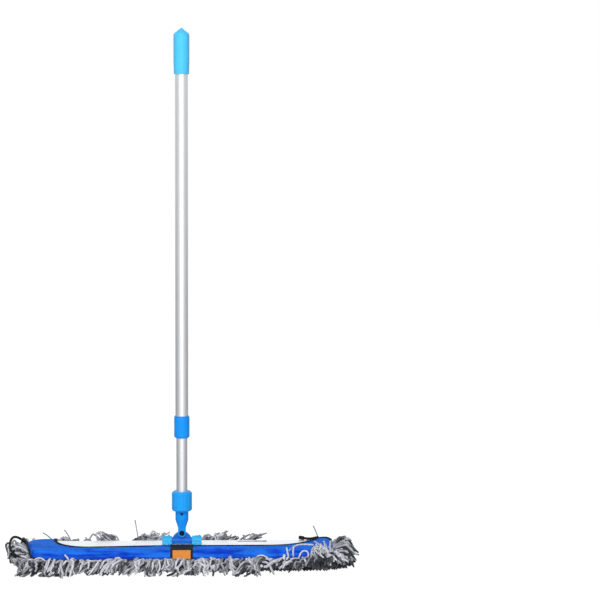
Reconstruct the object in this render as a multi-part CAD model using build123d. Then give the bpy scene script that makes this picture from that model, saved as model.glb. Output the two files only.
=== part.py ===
from build123d import *
import math
import os

# Flat dust mop: a yarn pad with a nylon pocket slips over a hollow aluminium frame, a two-axis swivel
# joins the frame to a telescopic handle. Millimetres, +Z up, +X along the head, the pocket's front is -Y.
# The origin is on the floor under the middle of the head.

# Gaps: pieces sewn or pressed together, running fits, and pieces that move past each other
seam_gap = 0.1
run_gap = 0.05
free_gap = 0.3
# Length by which a cutter runs past the faces that it cuts
past = 20.0

# Pad
cover_length = 608.0
cover_depth = 111.0
left_corner = 14.0
right_corner = 26.0
pile_height = 24.0
pile_corner = 18.0
pile_edge = 6.0
pile_groove = 4.0
pile_grooves = 7
backing_thick = 3.0
piping_dia = 5.0
piping_rise = 1.8

# Pocket: nylon shell, its room round the frame, its mouth and its label
nylon = 1.0
pocket_inset = 0.6
pocket_room = 3.2
pocket_back_inset = 1.0
pocket_slack = 0.4
pocket_top_corner = 14.0
mouth_piping_dia = 4.0
mouth_front = -13.0
mouth_sag_front = -27.0
mouth_sag_end = -60.0
mouth_sag_round = 900.0
mouth_left = -255.0
mouth_right = 277.0
mouth_right_corner = 245.0
mouth_left_round = 70.0
mouth_right_round = 108.0
mouth_turn_down = 5.0
label_wide = 43.0
label_thick = 0.6
label_gap = 0.5

# Fringe of yarn strands; a level is the height of a strand half way out and at its tip
fringe_reach = 43.0
fringe_end_reach = 53.0
reach_vary = 0.03
strand_pitch = 4.4
strand_r = 2.1
strand_sides = 3
strand_sway = 1.8
strand_tip_share = 0.65
fan_share = 0.25
strand_root_z = 20.8
strand_sink = 0.8
strip_wide = 7.0
strip_thick = 6.0
strip_inset = 3.0
knee_reach = 13.0
front_levels = ((28.0, 19.0), (18.0, 10.0), (10.0, 2.6))
left_levels = ((32.0, 33.0), (21.0, 14.0), (10.0, 2.6))
right_levels = ((36.0, 44.0), (22.0, 15.0), (10.0, 2.6))
back_levels = ((28.0, 23.0), (20.0, 13.0), (11.0, 2.6))
# Where the back fringe stands up in tufts, along the head, and how high
tuft_level = (42.0, 54.0)
tufts = ((-231.0, -187.0), (-170.0, -126.0), (-101.0, -41.0), (41.0, 158.0))

# Frame
frame_front = -34.0
frame_back = 52.6
frame_height = 17.0
frame_edge = 4.0
frame_wall = 1.6
web_offset = 8.0
plate_half = 253.0
cap_reach = 299.0
cap_corner = 18.0
cap_wall = 2.5
plug_length = 18.0
plug_gap = 0.2
sticker_size = (62.0, 16.0)
sticker_place = (141.0, 35.0)
sticker_corner = 1.0
sticker_thick = 0.25

# Swivel
swivel_y = 11.0
tilt_z = 52.0
pivot_z = 69.0
block_inner = 20.3
block_width = 19.2
block_foot_length = 42.0
block_foot_thick = 4.0
block_foot_corner = 4.0
block_foot_edge = 1.0
block_round = 9.6
block_flare = 3.0
block_edge = 1.2
trunnion_r = 5.5
trunnion_length = 13.5
trunnion_end_gap = 1.0
crossbar_r = 7.0
ear_thick = 10.0
ear_round = 20.0
ear_rise = -1.5
ear_lug_r = 8.0
pivot_r = 3.0
pivot_head_r = 5.1
pivot_head_thick = 2.6
pivot_head_sink = 0.4
pivot_head_edge = 0.8
pivot_key_r = 2.9
pivot_key_depth = 1.6
pivot_nut_r = 5.6
pivot_nut_thick = 2.4
pivot_recess = 3.2
cheek_r = 7.8
cheek_thick = 5.25
cheek_gap = 0.25
screw_offset = 16.5
screw_r = 2.0
screw_head_r = 3.6
screw_head_thick = 1.8
screw_head_edge = 1.0
screw_length = 12.0
screw_cross = (3.8, 0.9)
screw_cross_deep = 1.1

# Neck, socket and clamp nut
crotch_z = 79.5
crotch_lap = 3.0
neck_z = 95.0
neck_r = 13.1
neck_corner = 4.0
neck_margin = 0.2
socket_floor_z = 101.5
collet_z = 114.5
collet_top_z = 150.0
collet_r = 16.2
collet_step = 3.0
collet_cone = (3.2, 7.0)
collet_slits = 4
slit_wide = 1.6
slit_deep = 28.0
nut_bottom_z = 114.2
nut_top_z = 153.0
nut_r = 20.25
nut_lip = 2.0
nut_foot_chamfer = (1.6, 2.5)
nut_top_chamfer = 3.0
nut_flutes = 14
flute_r = 2.4
nut_flute_deep = 0.55
flute_end = 7.0
button_z = 108.5
button_r = 2.7
button_out = 12.6
button_dome = 1.2
button_flange_r = 4.0
button_flange = (8.6, 7.3)
leaf_front = -6.9
leaf_back = 8.9
leaf_half = 5.0
leaf_rise = 34.0
leaf_thick = 0.6
leaf_rounding = (4.0, 2.0, 4.0)

# Handle
inner_r = 11.0
inner_bore_r = 9.8
inner_top_z = 918.0
outer_r = 12.75
outer_bore_r = 11.35
outer_bottom_z = 285.0
outer_top_z = 1045.0
guide_r = 11.3
guide_length = 12.0
guide_spigot = 20.0
guide_wall = 2.0
guide_edge = 1.0
collar_bottom_z = 262.0
collar_top_z = 304.0
collar_r = 15.4
collar_bore_r = 14.2
collar_lip_gap = 0.4
collar_nose = (2.6, 4.0)
collar_rim = (0.8, 1.5)
collar_web = 2.0
collar_flutes = 12
collar_flute_deep = 0.4
sleeve_r = 13.9
sleeve_flange_r = 14.8
sleeve_flange = 2.4
finger_bottom_z = 268.0
finger_lead = (0.8, 5.0)
finger_slits = 6
finger_slit_wide = 1.2
finger_slit_deep = 14.0
cap_bottom_z = 986.0
cap_taper_length = 24.0
cap_top_z = 1077.0
cap_r = 15.7
cap_mouth_r = 14.9
cap_point_half_angle = 52.0
cap_shoulder = 2.0

# Cord loop at the left end, and the free end of the cord in the mouth's binding
cord_sides = 8
loop_dia = 5.0
loop_route = (
    (-301.5, 53.0, 26.0),
    (-314.5, 57.0, 36.5),
    (-329.0, 50.5, 50.5),
    (-339.5, 34.5, 57.0),
    (-343.5, 13.0, 54.5),
    (-343.5, -8.5, 48.5),
    (-339.5, -28.5, 42.0),
    (-329.0, -44.0, 36.5),
    (-314.5, -52.8, 31.0),
    (-301.5, -53.0, 26.0),
)
tail_dia = 5.0
tail_route = (
    (277.0, 54.5, 47.6),
    (271.7, 48.2, 48.8),
    (264.5, 44.4, 47.6),
    (256.3, 43.8, 47.2),
    (248.6, 46.6, 47.8),
)
stop_r = 3.8
stop_length = 12.0
stop_edge = 1.5

# Heights and half sizes that follow from the values above
half_length = cover_length / 2
half_depth = cover_depth / 2
frame_bottom = pile_height + backing_thick
frame_top = frame_bottom + frame_height
piping_r = piping_dia / 2
piping_z = pile_height + piping_rise
pocket_bottom = piping_z + piping_r + seam_gap
pocket_top = frame_top + pocket_slack + nylon
mouth_piping_r = mouth_piping_dia / 2
mouth_piping_z = frame_top + mouth_piping_r + seam_gap
cheek_inner = ear_thick / 2 + cheek_gap
cheek_outer = cheek_inner + cheek_thick
parts = {}


def turned(*outline):
    """Solid turned about the handle's axis from (radius, height) points."""
    face = make_face(Plane.XZ * Polyline(*outline, close=True))
    return Pos(0, swivel_y, 0) * revolve(face, Axis.Z)


def lying_x(radius, start, end, y, z):
    """Round bar along X."""
    return Pos((start + end) / 2, y, z) * Rot(0, 90, 0) * Cylinder(radius, end - start)


def lying_y(radius, start, end, z):
    """Round bar along Y, across the handle's axis."""
    return Pos(0, (start + end) / 2, z) * Rot(90, 0, 0) * Cylinder(radius, end - start)


def upright(radius, bottom, top, x, y):
    """Round bar along Z."""
    return Pos(x, y, (bottom + top) / 2) * Cylinder(radius, top - bottom)


def around_handle(shape, count):
    """Copies of a shape spaced evenly about the handle's axis."""
    turn = Pos(0, swivel_y, 0)
    return [turn * Rot(0, 0, 360 * i / count) * turn.inverse() * shape for i in range(count)]


def grip_flutes(radius, deep, bottom, top, count):
    """Cutters for the finger flutes round a nut or collar."""
    flute = upright(flute_r, bottom + flute_end, top - flute_end, radius + flute_r - deep, swivel_y)
    return around_handle(flute, count)


def cord_along(path, radius):
    """Faceted cord along a path."""
    ring = Plane(origin=path @ 0, z_dir=path % 0) * RegularPolygon(radius, cord_sides)
    return sweep(ring, path)


def cord_rounding(route):
    """Largest tangent arc that each corner of a cord's route has room for."""
    points = [Vector(*p) for p in route]
    radii = []
    for before, corner, after in zip(points, points[1:], points[2:]):
        run_in = corner - before
        run_out = after - corner
        half_turn = math.radians(run_in.get_angle(run_out)) / 2
        radii.append(0.45 * min(run_in.length, run_out.length) / math.tan(half_turn))
    return radii


def make_cord(name, route, dia):
    """Cord tube, with its radii, length and volume printed."""
    radii = cord_rounding(route)
    path = FilletPolyline(*route, radius=radii)
    cord = cord_along(path, dia / 2)
    section = RegularPolygon(dia / 2, cord_sides).area
    print(name, "radii", [round(r, 1) for r in radii], "length", round(path.length, 1),
          "volume ratio", round(cord.volume / (section * path.length), 4))
    return cord


def end_rounded(length, depth, left, right):
    """Rectangle with one corner radius at its left end and another at its right end."""
    plan = Rectangle(length, depth)
    plan = fillet(plan.vertices().group_by(Axis.X)[0], left)
    return fillet(plan.vertices().group_by(Axis.X)[-1], right)


def pad_plan(inset):
    """Plan of the pad, drawn in from the middle of the binding round its edge."""
    length = cover_length - 2 * inset
    return end_rounded(length, cover_depth - 2 * inset, left_corner - inset, right_corner - inset)


def make_pad():
    """Canvas backing, yarn pile under it and the binding round its edge."""
    backing = extrude(pad_plan(piping_r + run_gap), backing_thick)
    parts["pad_backing"] = Pos(0, 0, pile_height) * backing

    room = strip_inset + strip_wide + free_gap
    length = cover_length - 2 * room
    depth = cover_depth - 2 * room
    pile = extrude(RectangleRounded(length, depth, pile_corner), pile_height)
    pile = chamfer(pile.faces().sort_by(Axis.Z)[0].edges(), pile_edge)
    row = depth / (pile_grooves + 1)
    for i in range(pile_grooves):
        y = -depth / 2 + row * (i + 1)
        pile -= Pos(0, y, 0) * Rot(45, 0, 0) * Box(length, pile_groove, pile_groove)
    parts["yarn_pile"] = pile

    edge = Pos(0, 0, piping_z) * pad_plan(0).wire()
    parts["edge_piping"] = cord_along(edge, piping_r)


def strand(root, out, reach, level, sway):
    """One yarn strand out to its tip; a strand that rises first passes under the binding."""
    side = Vector(-out.Y, out.X, 0)
    middle_z, tip_z = level
    stations = [
        (-strand_sink, strand_root_z, 1.0, 0.0),
        ((knee_reach + reach) / 2, middle_z, 1.0, sway / 3),
        (reach, tip_z, strand_tip_share, sway),
    ]
    if middle_z > strand_root_z:
        stations.insert(1, (knee_reach, strand_root_z, 1.0, 0.0))
    rings = []
    for along, z, share, aside in stations:
        centre = root + out * along + side * aside
        plane = Plane(origin=(centre.X, centre.Y, z), x_dir=side, z_dir=out)
        rings.append(plane * RegularPolygon(strand_r * share, strand_sides))
    return loft(rings, ruled=True)


def strands_between(start, end, out, reach, levels, standing=()):
    """Strands along a straight stretch of the pad's edge, the top ones upright in the standing tufts."""
    count = round((end - start).length / strand_pitch)
    made = []
    for i in range(count):
        share = (i + 0.5) / count
        root = start + (end - start) * share
        length = reach * (1 - reach_vary * (1 - math.sin(2.1 * i)))
        sway = strand_sway * math.sin(1.3 * i) * math.sin(math.pi * share)
        level = levels[i % len(levels)]
        if level == levels[0] and any(low < root.X < high for low, high in standing):
            level = tuft_level
        made.append(strand(root, out, length, level, sway))
    return made


def strands_round(centre, radius, start, reaches, levels):
    """Strands fanned round a corner of the pad, from one reach to the other."""
    count = round(math.radians(90) * (radius + fan_share * reaches[0]) / strand_pitch)
    made = []
    for i in range(count):
        share = (i + 0.5) / count
        angle = math.radians(start + 90 * share)
        out = Vector(math.cos(angle), math.sin(angle), 0)
        reach = reaches[0] + (reaches[1] - reaches[0]) * share
        made.append(strand(centre + out * radius, out, reach, levels[(i + 1) % len(levels)], 0.0))
    return made


def make_fringe():
    """Fringe of strands in four stretches, each fused to its strip of the pad's edge."""
    root_inset = strip_inset + strip_wide / 2
    left_end = left_corner - half_length
    right_end = half_length - right_corner
    strip = extrude(pad_plan(strip_inset) - pad_plan(strip_inset + strip_wide), strip_thick)
    strip = Pos(0, 0, pile_height - strip_thick) * strip
    reach = fringe_reach + root_inset
    end_reach = fringe_end_reach + root_inset

    sides = (("fringe_front", -1, front_levels, ()), ("fringe_back", 1, back_levels, tufts))
    for name, sign, levels, standing in sides:
        y = sign * (half_depth - root_inset)
        block = Box(right_end - left_end, cover_depth, cover_depth)
        run = strip & Pos((left_end + right_end) / 2, sign * half_depth, pile_height) * block
        strands = strands_between(Vector(left_end, y, 0), Vector(right_end, y, 0),
                                  Vector(0, sign, 0), reach, levels, standing)
        parts[name] = run.fuse(*strands)

    corner_start = {(1, 1): 0, (-1, 1): 90, (-1, -1): 180, (1, -1): 270}
    ends = (
        ("fringe_left", -1, left_end, left_corner, left_levels),
        ("fringe_right", 1, right_end, right_corner, right_levels),
    )
    for name, sign, end, rounding, levels in ends:
        block = Box(cover_length, 2 * cover_depth, cover_depth)
        run = strip & Pos(end + sign * half_length, 0, pile_height) * block
        x = sign * (half_length - root_inset)
        straight_y = half_depth - rounding
        strands = strands_between(Vector(x, -straight_y, 0), Vector(x, straight_y, 0),
                                  Vector(sign, 0, 0), end_reach, levels)
        for corner in (-1, 1):
            centre = Vector(end, corner * straight_y, 0)
            reaches = (end_reach, reach) if sign == corner else (reach, end_reach)
            strands += strands_round(centre, rounding - root_inset, corner_start[sign, corner],
                                     reaches, levels)
        parts[name] = run.fuse(*strands)


def pocket_form(grow, bottom, top):
    """Solid under the pocket's nylon: flat over the frame, sloping to the pad's edge."""
    foot = grow - pocket_inset
    low = end_rounded(cover_length + 2 * foot, cover_depth + 2 * foot,
                      left_corner + grow, right_corner + grow)
    top_front = frame_front - pocket_room - grow
    top_back = half_depth - pocket_back_inset + grow
    top_half = cap_reach + pocket_room + grow
    high = RectangleRounded(2 * top_half, top_back - top_front, pocket_top_corner + grow)
    return loft([Pos(0, 0, bottom) * low, Pos(0, (top_front + top_back) / 2, top) * high], ruled=True)


def mouth_turns():
    """Plan points where the mouth's edge turns, each with its rounding; its left part sags to the front."""
    return (
        ((mouth_left, mouth_sag_front), mouth_left_round),
        ((mouth_sag_end, mouth_front), mouth_sag_round),
        ((mouth_right_corner, mouth_front), mouth_right_round),
    )


def mouth_outline():
    """Plan of the pocket's mouth, run out past the back edge."""
    back = half_depth + past
    slope = (mouth_right - mouth_right_corner) / (half_depth - mouth_front)
    right_end = mouth_right_corner + slope * (back - mouth_front)
    turns = [turn for turn, rounding in mouth_turns()]
    plan = make_face(Polyline((mouth_left, back), *turns, (right_end, back), close=True))
    for turn, rounding in mouth_turns():
        sharp = plan.vertices().sort_by_distance(turn)[0]
        plan = fillet(sharp, rounding)
    return plan


def make_pocket():
    """Nylon pocket, the binding of its mouth and the label on its front."""
    shell = pocket_form(0, pocket_bottom, pocket_top)
    shell -= pocket_form(-nylon, pocket_bottom, pocket_top - nylon)
    mouth = offset(mouth_outline(), mouth_piping_r + seam_gap, kind=Kind.ARC)
    shell -= Pos(0, 0, pile_height) * extrude(mouth, frame_top)
    parts["pocket_cover"] = shell

    back = half_depth - 2 * seam_gap
    route = (
        (mouth_left, back, pocket_bottom),
        (mouth_left, back, mouth_piping_z),
        *((x, y, mouth_piping_z) for (x, y), rounding in mouth_turns()),
        (mouth_right, back, mouth_piping_z),
        (mouth_right, back, pocket_bottom),
    )
    turns = [rounding for turn, rounding in mouth_turns()]
    line = FilletPolyline(*route, radius=[mouth_turn_down, *turns, mouth_turn_down])
    parts["opening_piping"] = cord_along(line, mouth_piping_r)

    label = pocket_form(label_thick, pocket_bottom, pocket_top + label_thick)
    label -= pocket_form(0, pocket_bottom, pocket_top)
    label_back = mouth_front - mouth_piping_r - label_gap
    label &= Pos(0, label_back - half_depth, frame_top) * Box(label_wide, cover_depth, 2 * frame_top)
    parts["woven_label"] = label


def make_cords():
    """Pull loop at the left end, and the free cord end with its stop at the mouth's right end."""
    parts["pull_loop"] = make_cord("pull_loop", loop_route, loop_dia)
    parts["cord_tail"] = make_cord("cord_tail", tail_route, tail_dia)
    end = Vector(*tail_route[-1])
    along = (end - Vector(*tail_route[-2])).normalized()
    stop = Plane(origin=end, z_dir=along) * Pos(0, 0, stop_length / 2) * Cylinder(stop_r, stop_length)
    parts["cord_stop"] = chamfer(stop.edges().filter_by(GeomType.CIRCLE), stop_edge)


def frame_profile(inset):
    """Cross-section of the frame, across the head."""
    wide = frame_back - frame_front - 2 * inset
    section = RectangleRounded(wide, frame_height - 2 * inset, frame_edge - inset)
    return Plane.YZ * Pos((frame_front + frame_back) / 2, (frame_bottom + frame_top) / 2) * section


def frame_cells(inset):
    """The three hollow cells of the frame's cross-section."""
    hollow = frame_profile(frame_wall + inset)
    web = frame_wall + 2 * inset
    for y in (swivel_y - web_offset, swivel_y + web_offset):
        hollow -= Plane.YZ * Pos(y, frame_top / 2) * Rectangle(web, 2 * frame_top)
    return hollow


def screw_places():
    """Plan points of the screws through the feet of the bearing blocks."""
    middle = block_inner + block_width / 2
    return [(sx * middle, swivel_y + sy * screw_offset) for sx in (-1, 1) for sy in (-1, 1)]


def make_frame():
    """Hollow extruded plate, its two end plugs and a blank sticker."""
    plate = extrude(frame_profile(0) - frame_cells(0), plate_half, both=True)
    for x, y in screw_places():
        plate -= upright(screw_r + seam_gap, frame_top - 2 * frame_wall, frame_top + past, x, y)
    parts["frame_plate"] = plate

    plan = RectangleRounded(2 * cap_reach, frame_back - frame_front, cap_corner)
    plan = Pos(0, (frame_front + frame_back) / 2) * plan
    ends = extrude(plan, frame_top + past)
    hollow = extrude(offset(plan, -cap_wall), frame_top - cap_wall)
    for name, sign in (("end_cap_left", -1), ("end_cap_right", 1)):
        start = Pos(sign * plate_half, 0, 0)
        beyond = Box(cover_length, cover_depth, cover_depth)
        beyond = Pos(sign * (plate_half + cap_wall + half_length), 0, 0) * beyond
        cap = start * extrude(frame_profile(0), sign * (cap_reach - plate_half)) & ends
        cap -= hollow & beyond
        cap += start * extrude(frame_cells(plug_gap), -sign * plug_length)
        parts[name] = cap

    sticker = extrude(RectangleRounded(*sticker_size, sticker_corner), sticker_thick)
    parts["plate_sticker"] = Pos(*sticker_place, frame_top) * sticker


def make_bearing_block(sign):
    """Moulded bearing block: a foot on the plate and a rounded housing with a blind bore."""
    middle = sign * (block_inner + block_width / 2)
    foot_plan = Pos(middle, swivel_y) * RectangleRounded(block_width, block_foot_length, block_foot_corner)
    foot = Pos(0, 0, frame_top) * extrude(foot_plan, block_foot_thick)
    foot = chamfer(foot.faces().sort_by(Axis.Z)[-1].edges(), block_foot_edge)
    wall = block_round - free_gap
    flare = wall + block_flare
    base_z = frame_top + block_foot_thick / 2
    walls = Polyline((swivel_y - flare, base_z), (swivel_y + flare, base_z),
                     (swivel_y + wall, tilt_z), (swivel_y - wall, tilt_z), close=True)
    section = make_face(Plane.YZ * walls) + Plane.YZ * Pos(swivel_y, tilt_z) * Circle(block_round)
    section &= Plane.YZ * Pos(swivel_y, base_z + block_round) * Rectangle(4 * block_round, 2 * block_round)
    housing = Pos(sign * block_inner, 0, 0) * extrude(section, sign * block_width)
    outer_face = housing.faces().sort_by(Axis.X)[-1 if sign > 0 else 0]
    block = foot + chamfer(outer_face.edges(), block_edge)
    bore_ends = sorted((0, sign * (block_inner + trunnion_length + trunnion_end_gap)))
    block -= lying_x(trunnion_r + run_gap, *bore_ends, swivel_y, tilt_z)
    for x, y in screw_places():
        block -= upright(screw_r + seam_gap, frame_bottom, frame_top + past, x, y)
    return block


def make_screws():
    """Cross-recessed pan-head screws through the feet into the frame's top wall."""
    screws = []
    under_head = frame_top + block_foot_thick
    cross_floor = under_head + screw_head_thick - screw_cross_deep
    cross = Rectangle(*screw_cross) + Rot(0, 0, 90) * Rectangle(*screw_cross)
    for x, y in screw_places():
        head = upright(screw_head_r, under_head, under_head + screw_head_thick, x, y)
        head = chamfer(head.faces().sort_by(Axis.Z)[-1].edges(), screw_head_edge)
        head -= Pos(x, y, cross_floor) * extrude(cross, screw_head_thick)
        screws.append(head + upright(screw_r, under_head - screw_length, under_head, x, y))
    return Compound(children=screws)


def make_swivel():
    """Bearing blocks with their screws, the yoke between them, and the pivot bolt and nut."""
    parts["bearing_block_left"] = make_bearing_block(-1)
    parts["bearing_block_right"] = make_bearing_block(1)
    parts["block_screws"] = make_screws()

    shoulder = block_inner - free_gap
    pin_end = block_inner + trunnion_length
    bar = lying_x(crossbar_r, -shoulder, shoulder, swivel_y, tilt_z)
    pins = lying_x(trunnion_r, -pin_end, pin_end, swivel_y, tilt_z)
    half_moon = Pos(0, tilt_z + ear_rise) * Circle(ear_round)
    half_moon &= Pos(0, tilt_z + ear_round) * Rectangle(4 * ear_round, 2 * ear_round)
    lug_ends = (Pos(0, pivot_z) * Circle(ear_lug_r), Pos(0, tilt_z + ear_lug_r) * Circle(ear_lug_r))
    lug = make_hull(lug_ends[0].edges() + lug_ends[1].edges())
    ear = extrude(Plane.XZ * (half_moon + lug), ear_thick / 2, both=True)
    yoke = bar + pins + Pos(0, swivel_y, 0) * ear
    yoke -= lying_y(pivot_r + run_gap, swivel_y - past, swivel_y + past, pivot_z)
    parts["yoke"] = yoke

    front = swivel_y - cheek_outer + pivot_head_sink
    rear = swivel_y + cheek_outer - pivot_head_sink
    head = lying_y(pivot_head_r, front, front + pivot_head_thick, pivot_z)
    head = chamfer(head.faces().sort_by(Axis.Y)[0].edges(), pivot_head_edge)
    key_plane = Plane(origin=(0, front, pivot_z), x_dir=(1, 0, 0), z_dir=(0, -1, 0))
    head -= extrude(key_plane * RegularPolygon(pivot_key_r, 6), -pivot_key_depth)
    shank = lying_y(pivot_r, front + pivot_head_thick / 2, rear, pivot_z)
    parts["pivot_bolt"] = head + shank
    nut_plane = Plane(origin=(0, rear, pivot_z), x_dir=(1, 0, 0), z_dir=(0, 1, 0))
    nut = extrude(nut_plane * RegularPolygon(pivot_nut_r, 6), -pivot_nut_thick)
    parts["pivot_nut"] = nut - lying_y(pivot_r + run_gap, swivel_y, swivel_y + past, pivot_z)


def make_neck():
    """Fork, tapered neck and split socket, with the clamp nut over the socket and the snap button."""
    cheek_top = crotch_z + crotch_lap
    cheek = Pos(0, pivot_z) * Circle(cheek_r)
    cheek += Pos(0, (pivot_z + cheek_top) / 2) * Rectangle(2 * cheek_r, cheek_top - pivot_z)
    fork = extrude(Plane.XZ * cheek, cheek_outer, both=True)
    fork -= Pos(0, 0, crotch_z - past) * Box(4 * cheek_r, 2 * cheek_inner, 2 * past)
    low = RectangleRounded(2 * (cheek_r + neck_margin), 2 * (cheek_outer + neck_margin), neck_corner)
    taper = loft([Pos(0, swivel_y, crotch_z) * low, Pos(0, swivel_y, neck_z) * Circle(neck_r)], ruled=True)
    cone_in, cone_long = collet_cone
    socket = turned((0, neck_z), (neck_r, neck_z), (neck_r, collet_z - collet_step),
                    (collet_r, collet_z), (collet_r, collet_top_z - cone_long),
                    (collet_r - cone_in, collet_top_z), (0, collet_top_z))
    neck = Pos(0, swivel_y, 0) * fork + taper + socket
    neck -= upright(inner_r + seam_gap, socket_floor_z, collet_top_z + past, 0, swivel_y)
    slit = Pos(collet_r, swivel_y, collet_top_z) * Box(2 * collet_r, slit_wide, 2 * slit_deep)
    neck -= around_handle(slit, collet_slits)
    front = swivel_y - cheek_outer
    rear = swivel_y + cheek_outer
    neck -= lying_y(pivot_r + run_gap, front - past, rear + past, pivot_z)
    neck -= lying_y(pivot_head_r + free_gap, front - past, front + pivot_recess, pivot_z)
    neck -= lying_y(pivot_nut_r + free_gap, rear - pivot_recess, rear + past, pivot_z)
    neck -= lying_y(button_r + free_gap, front - past, swivel_y, button_z)
    parts["neck_socket"] = neck

    bore = collet_r + free_gap
    lip = inner_r + free_gap
    foot_in, foot_up = nut_foot_chamfer
    nut = turned((bore + free_gap, nut_bottom_z), (nut_r - foot_in, nut_bottom_z),
                 (nut_r, nut_bottom_z + foot_up), (nut_r, nut_top_z - nut_top_chamfer),
                 (nut_r - nut_top_chamfer, nut_top_z), (lip, nut_top_z), (lip, nut_top_z - nut_lip),
                 (bore - cone_in + free_gap, collet_top_z + free_gap),
                 (bore, collet_top_z - cone_long + free_gap), (bore, nut_bottom_z + foot_up))
    parts["clamp_nut"] = nut - grip_flutes(nut_r, nut_flute_deep, nut_bottom_z, nut_top_z, nut_flutes)

    flange_front, flange_back = button_flange
    button = lying_y(button_r, swivel_y - button_out, swivel_y - flange_back, button_z)
    button = chamfer(button.faces().sort_by(Axis.Y)[0].edges(), button_dome)
    flange = lying_y(button_flange_r, swivel_y - flange_front, swivel_y - flange_back, button_z)
    parts["snap_button"] = button + flange

    low = button_z - leaf_half
    high = button_z + leaf_half
    leaf_line = FilletPolyline((leaf_front, low), (leaf_front, high), (0, button_z + leaf_rise),
                               (leaf_back, high), (leaf_back, low), radius=list(leaf_rounding))
    leaf = extrude(Plane.YZ * trace(leaf_line, leaf_thick), leaf_half / 2, both=True)
    parts["button_spring"] = Pos(0, swivel_y, 0) * leaf


def make_handle():
    """Telescopic tubes, the guide on the inner one, the twist lock and the end cap."""
    inner = turned((inner_bore_r, socket_floor_z), (inner_r, socket_floor_z), (inner_r, inner_top_z),
                   (inner_bore_r, inner_top_z))
    parts["inner_tube"] = inner - lying_y(button_r + free_gap, swivel_y - past, swivel_y, button_z)
    spigot_r = inner_bore_r - run_gap
    spigot_bore_r = spigot_r - guide_wall
    spigot_z = inner_top_z - guide_spigot
    guide_top = inner_top_z + guide_length
    parts["tube_guide"] = turned((spigot_bore_r, spigot_z), (spigot_r, spigot_z), (spigot_r, inner_top_z),
                                 (guide_r, inner_top_z), (guide_r, guide_top - guide_edge),
                                 (guide_r - guide_edge, guide_top), (spigot_bore_r, guide_top))
    parts["outer_tube"] = turned((outer_bore_r, outer_bottom_z), (outer_r, outer_bottom_z),
                                 (outer_r, outer_top_z), (outer_bore_r, outer_top_z))

    finger_bore = inner_r + free_gap
    seat = outer_r + run_gap
    flange_z = collar_top_z + free_gap
    flange_top = flange_z + sleeve_flange
    lead_in, lead_up = finger_lead
    bevel = sleeve_flange / 2
    sleeve = turned((finger_bore, finger_bottom_z), (sleeve_r - lead_in, finger_bottom_z),
                    (sleeve_r, finger_bottom_z + lead_up), (sleeve_r, flange_z), (sleeve_flange_r, flange_z),
                    (sleeve_flange_r, flange_top - bevel), (sleeve_flange_r - bevel, flange_top),
                    (seat, flange_top), (seat, outer_bottom_z), (finger_bore, outer_bottom_z))
    slit = Box(2 * sleeve_r, finger_slit_wide, 2 * finger_slit_deep)
    slit = Pos(sleeve_r, swivel_y, finger_bottom_z) * slit
    parts["lock_sleeve"] = sleeve - around_handle(slit, finger_slits)

    lip = inner_r + collar_lip_gap
    nose_in, nose_up = collar_nose
    rim_in, rim_down = collar_rim
    collar = turned((lip, collar_bottom_z), (collar_r - nose_in, collar_bottom_z),
                    (collar_r - nose_in / 3, collar_bottom_z + nose_up / 3),
                    (collar_r, collar_bottom_z + nose_up),
                    (collar_r, collar_top_z - rim_down), (collar_r - rim_in, collar_top_z),
                    (collar_bore_r, collar_top_z), (collar_bore_r, finger_bottom_z + collar_web / 2),
                    (lip, collar_bottom_z + collar_web))
    flutes = grip_flutes(collar_r, collar_flute_deep, collar_bottom_z, collar_top_z, collar_flutes)
    parts["twist_collar"] = collar - flutes

    shoulder_z = cap_top_z - cap_r / math.tan(math.radians(cap_point_half_angle))
    cap = turned((seat, cap_bottom_z), (cap_mouth_r, cap_bottom_z), (cap_r, cap_bottom_z + cap_taper_length),
                 (cap_r, shoulder_z), (0, cap_top_z), (0, outer_top_z), (seat, outer_top_z))
    rims = cap.edges().filter_by(GeomType.CIRCLE)
    shoulder = rims.filter_by(lambda rim: abs(rim.center().Z - shoulder_z) < run_gap)
    parts["handle_cap"] = chamfer(shoulder, cap_shoulder)


make_pad()
make_fringe()
make_pocket()
make_cords()
make_frame()
make_swivel()
make_neck()
make_handle()

os.makedirs("parts", exist_ok=True)
for name, part in parts.items():
    export_step(part, f"parts/{name}.step")
print(len(parts), "nodes")
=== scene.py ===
# %% [markdown]
# # A flat dust mop
#
# A dust mop is two kinds of thing at once. The handle, the swivel and the frame are hard parts with exact
# sizes, and they come from a CAD model. The pad is yarn, nylon and tape, which CAD can only stand in for.
# This lesson keeps the hard parts, gives them their finish, and grows the soft parts round them. Everything
# is in metres, in the CAD's place.

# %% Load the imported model
import math

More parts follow.
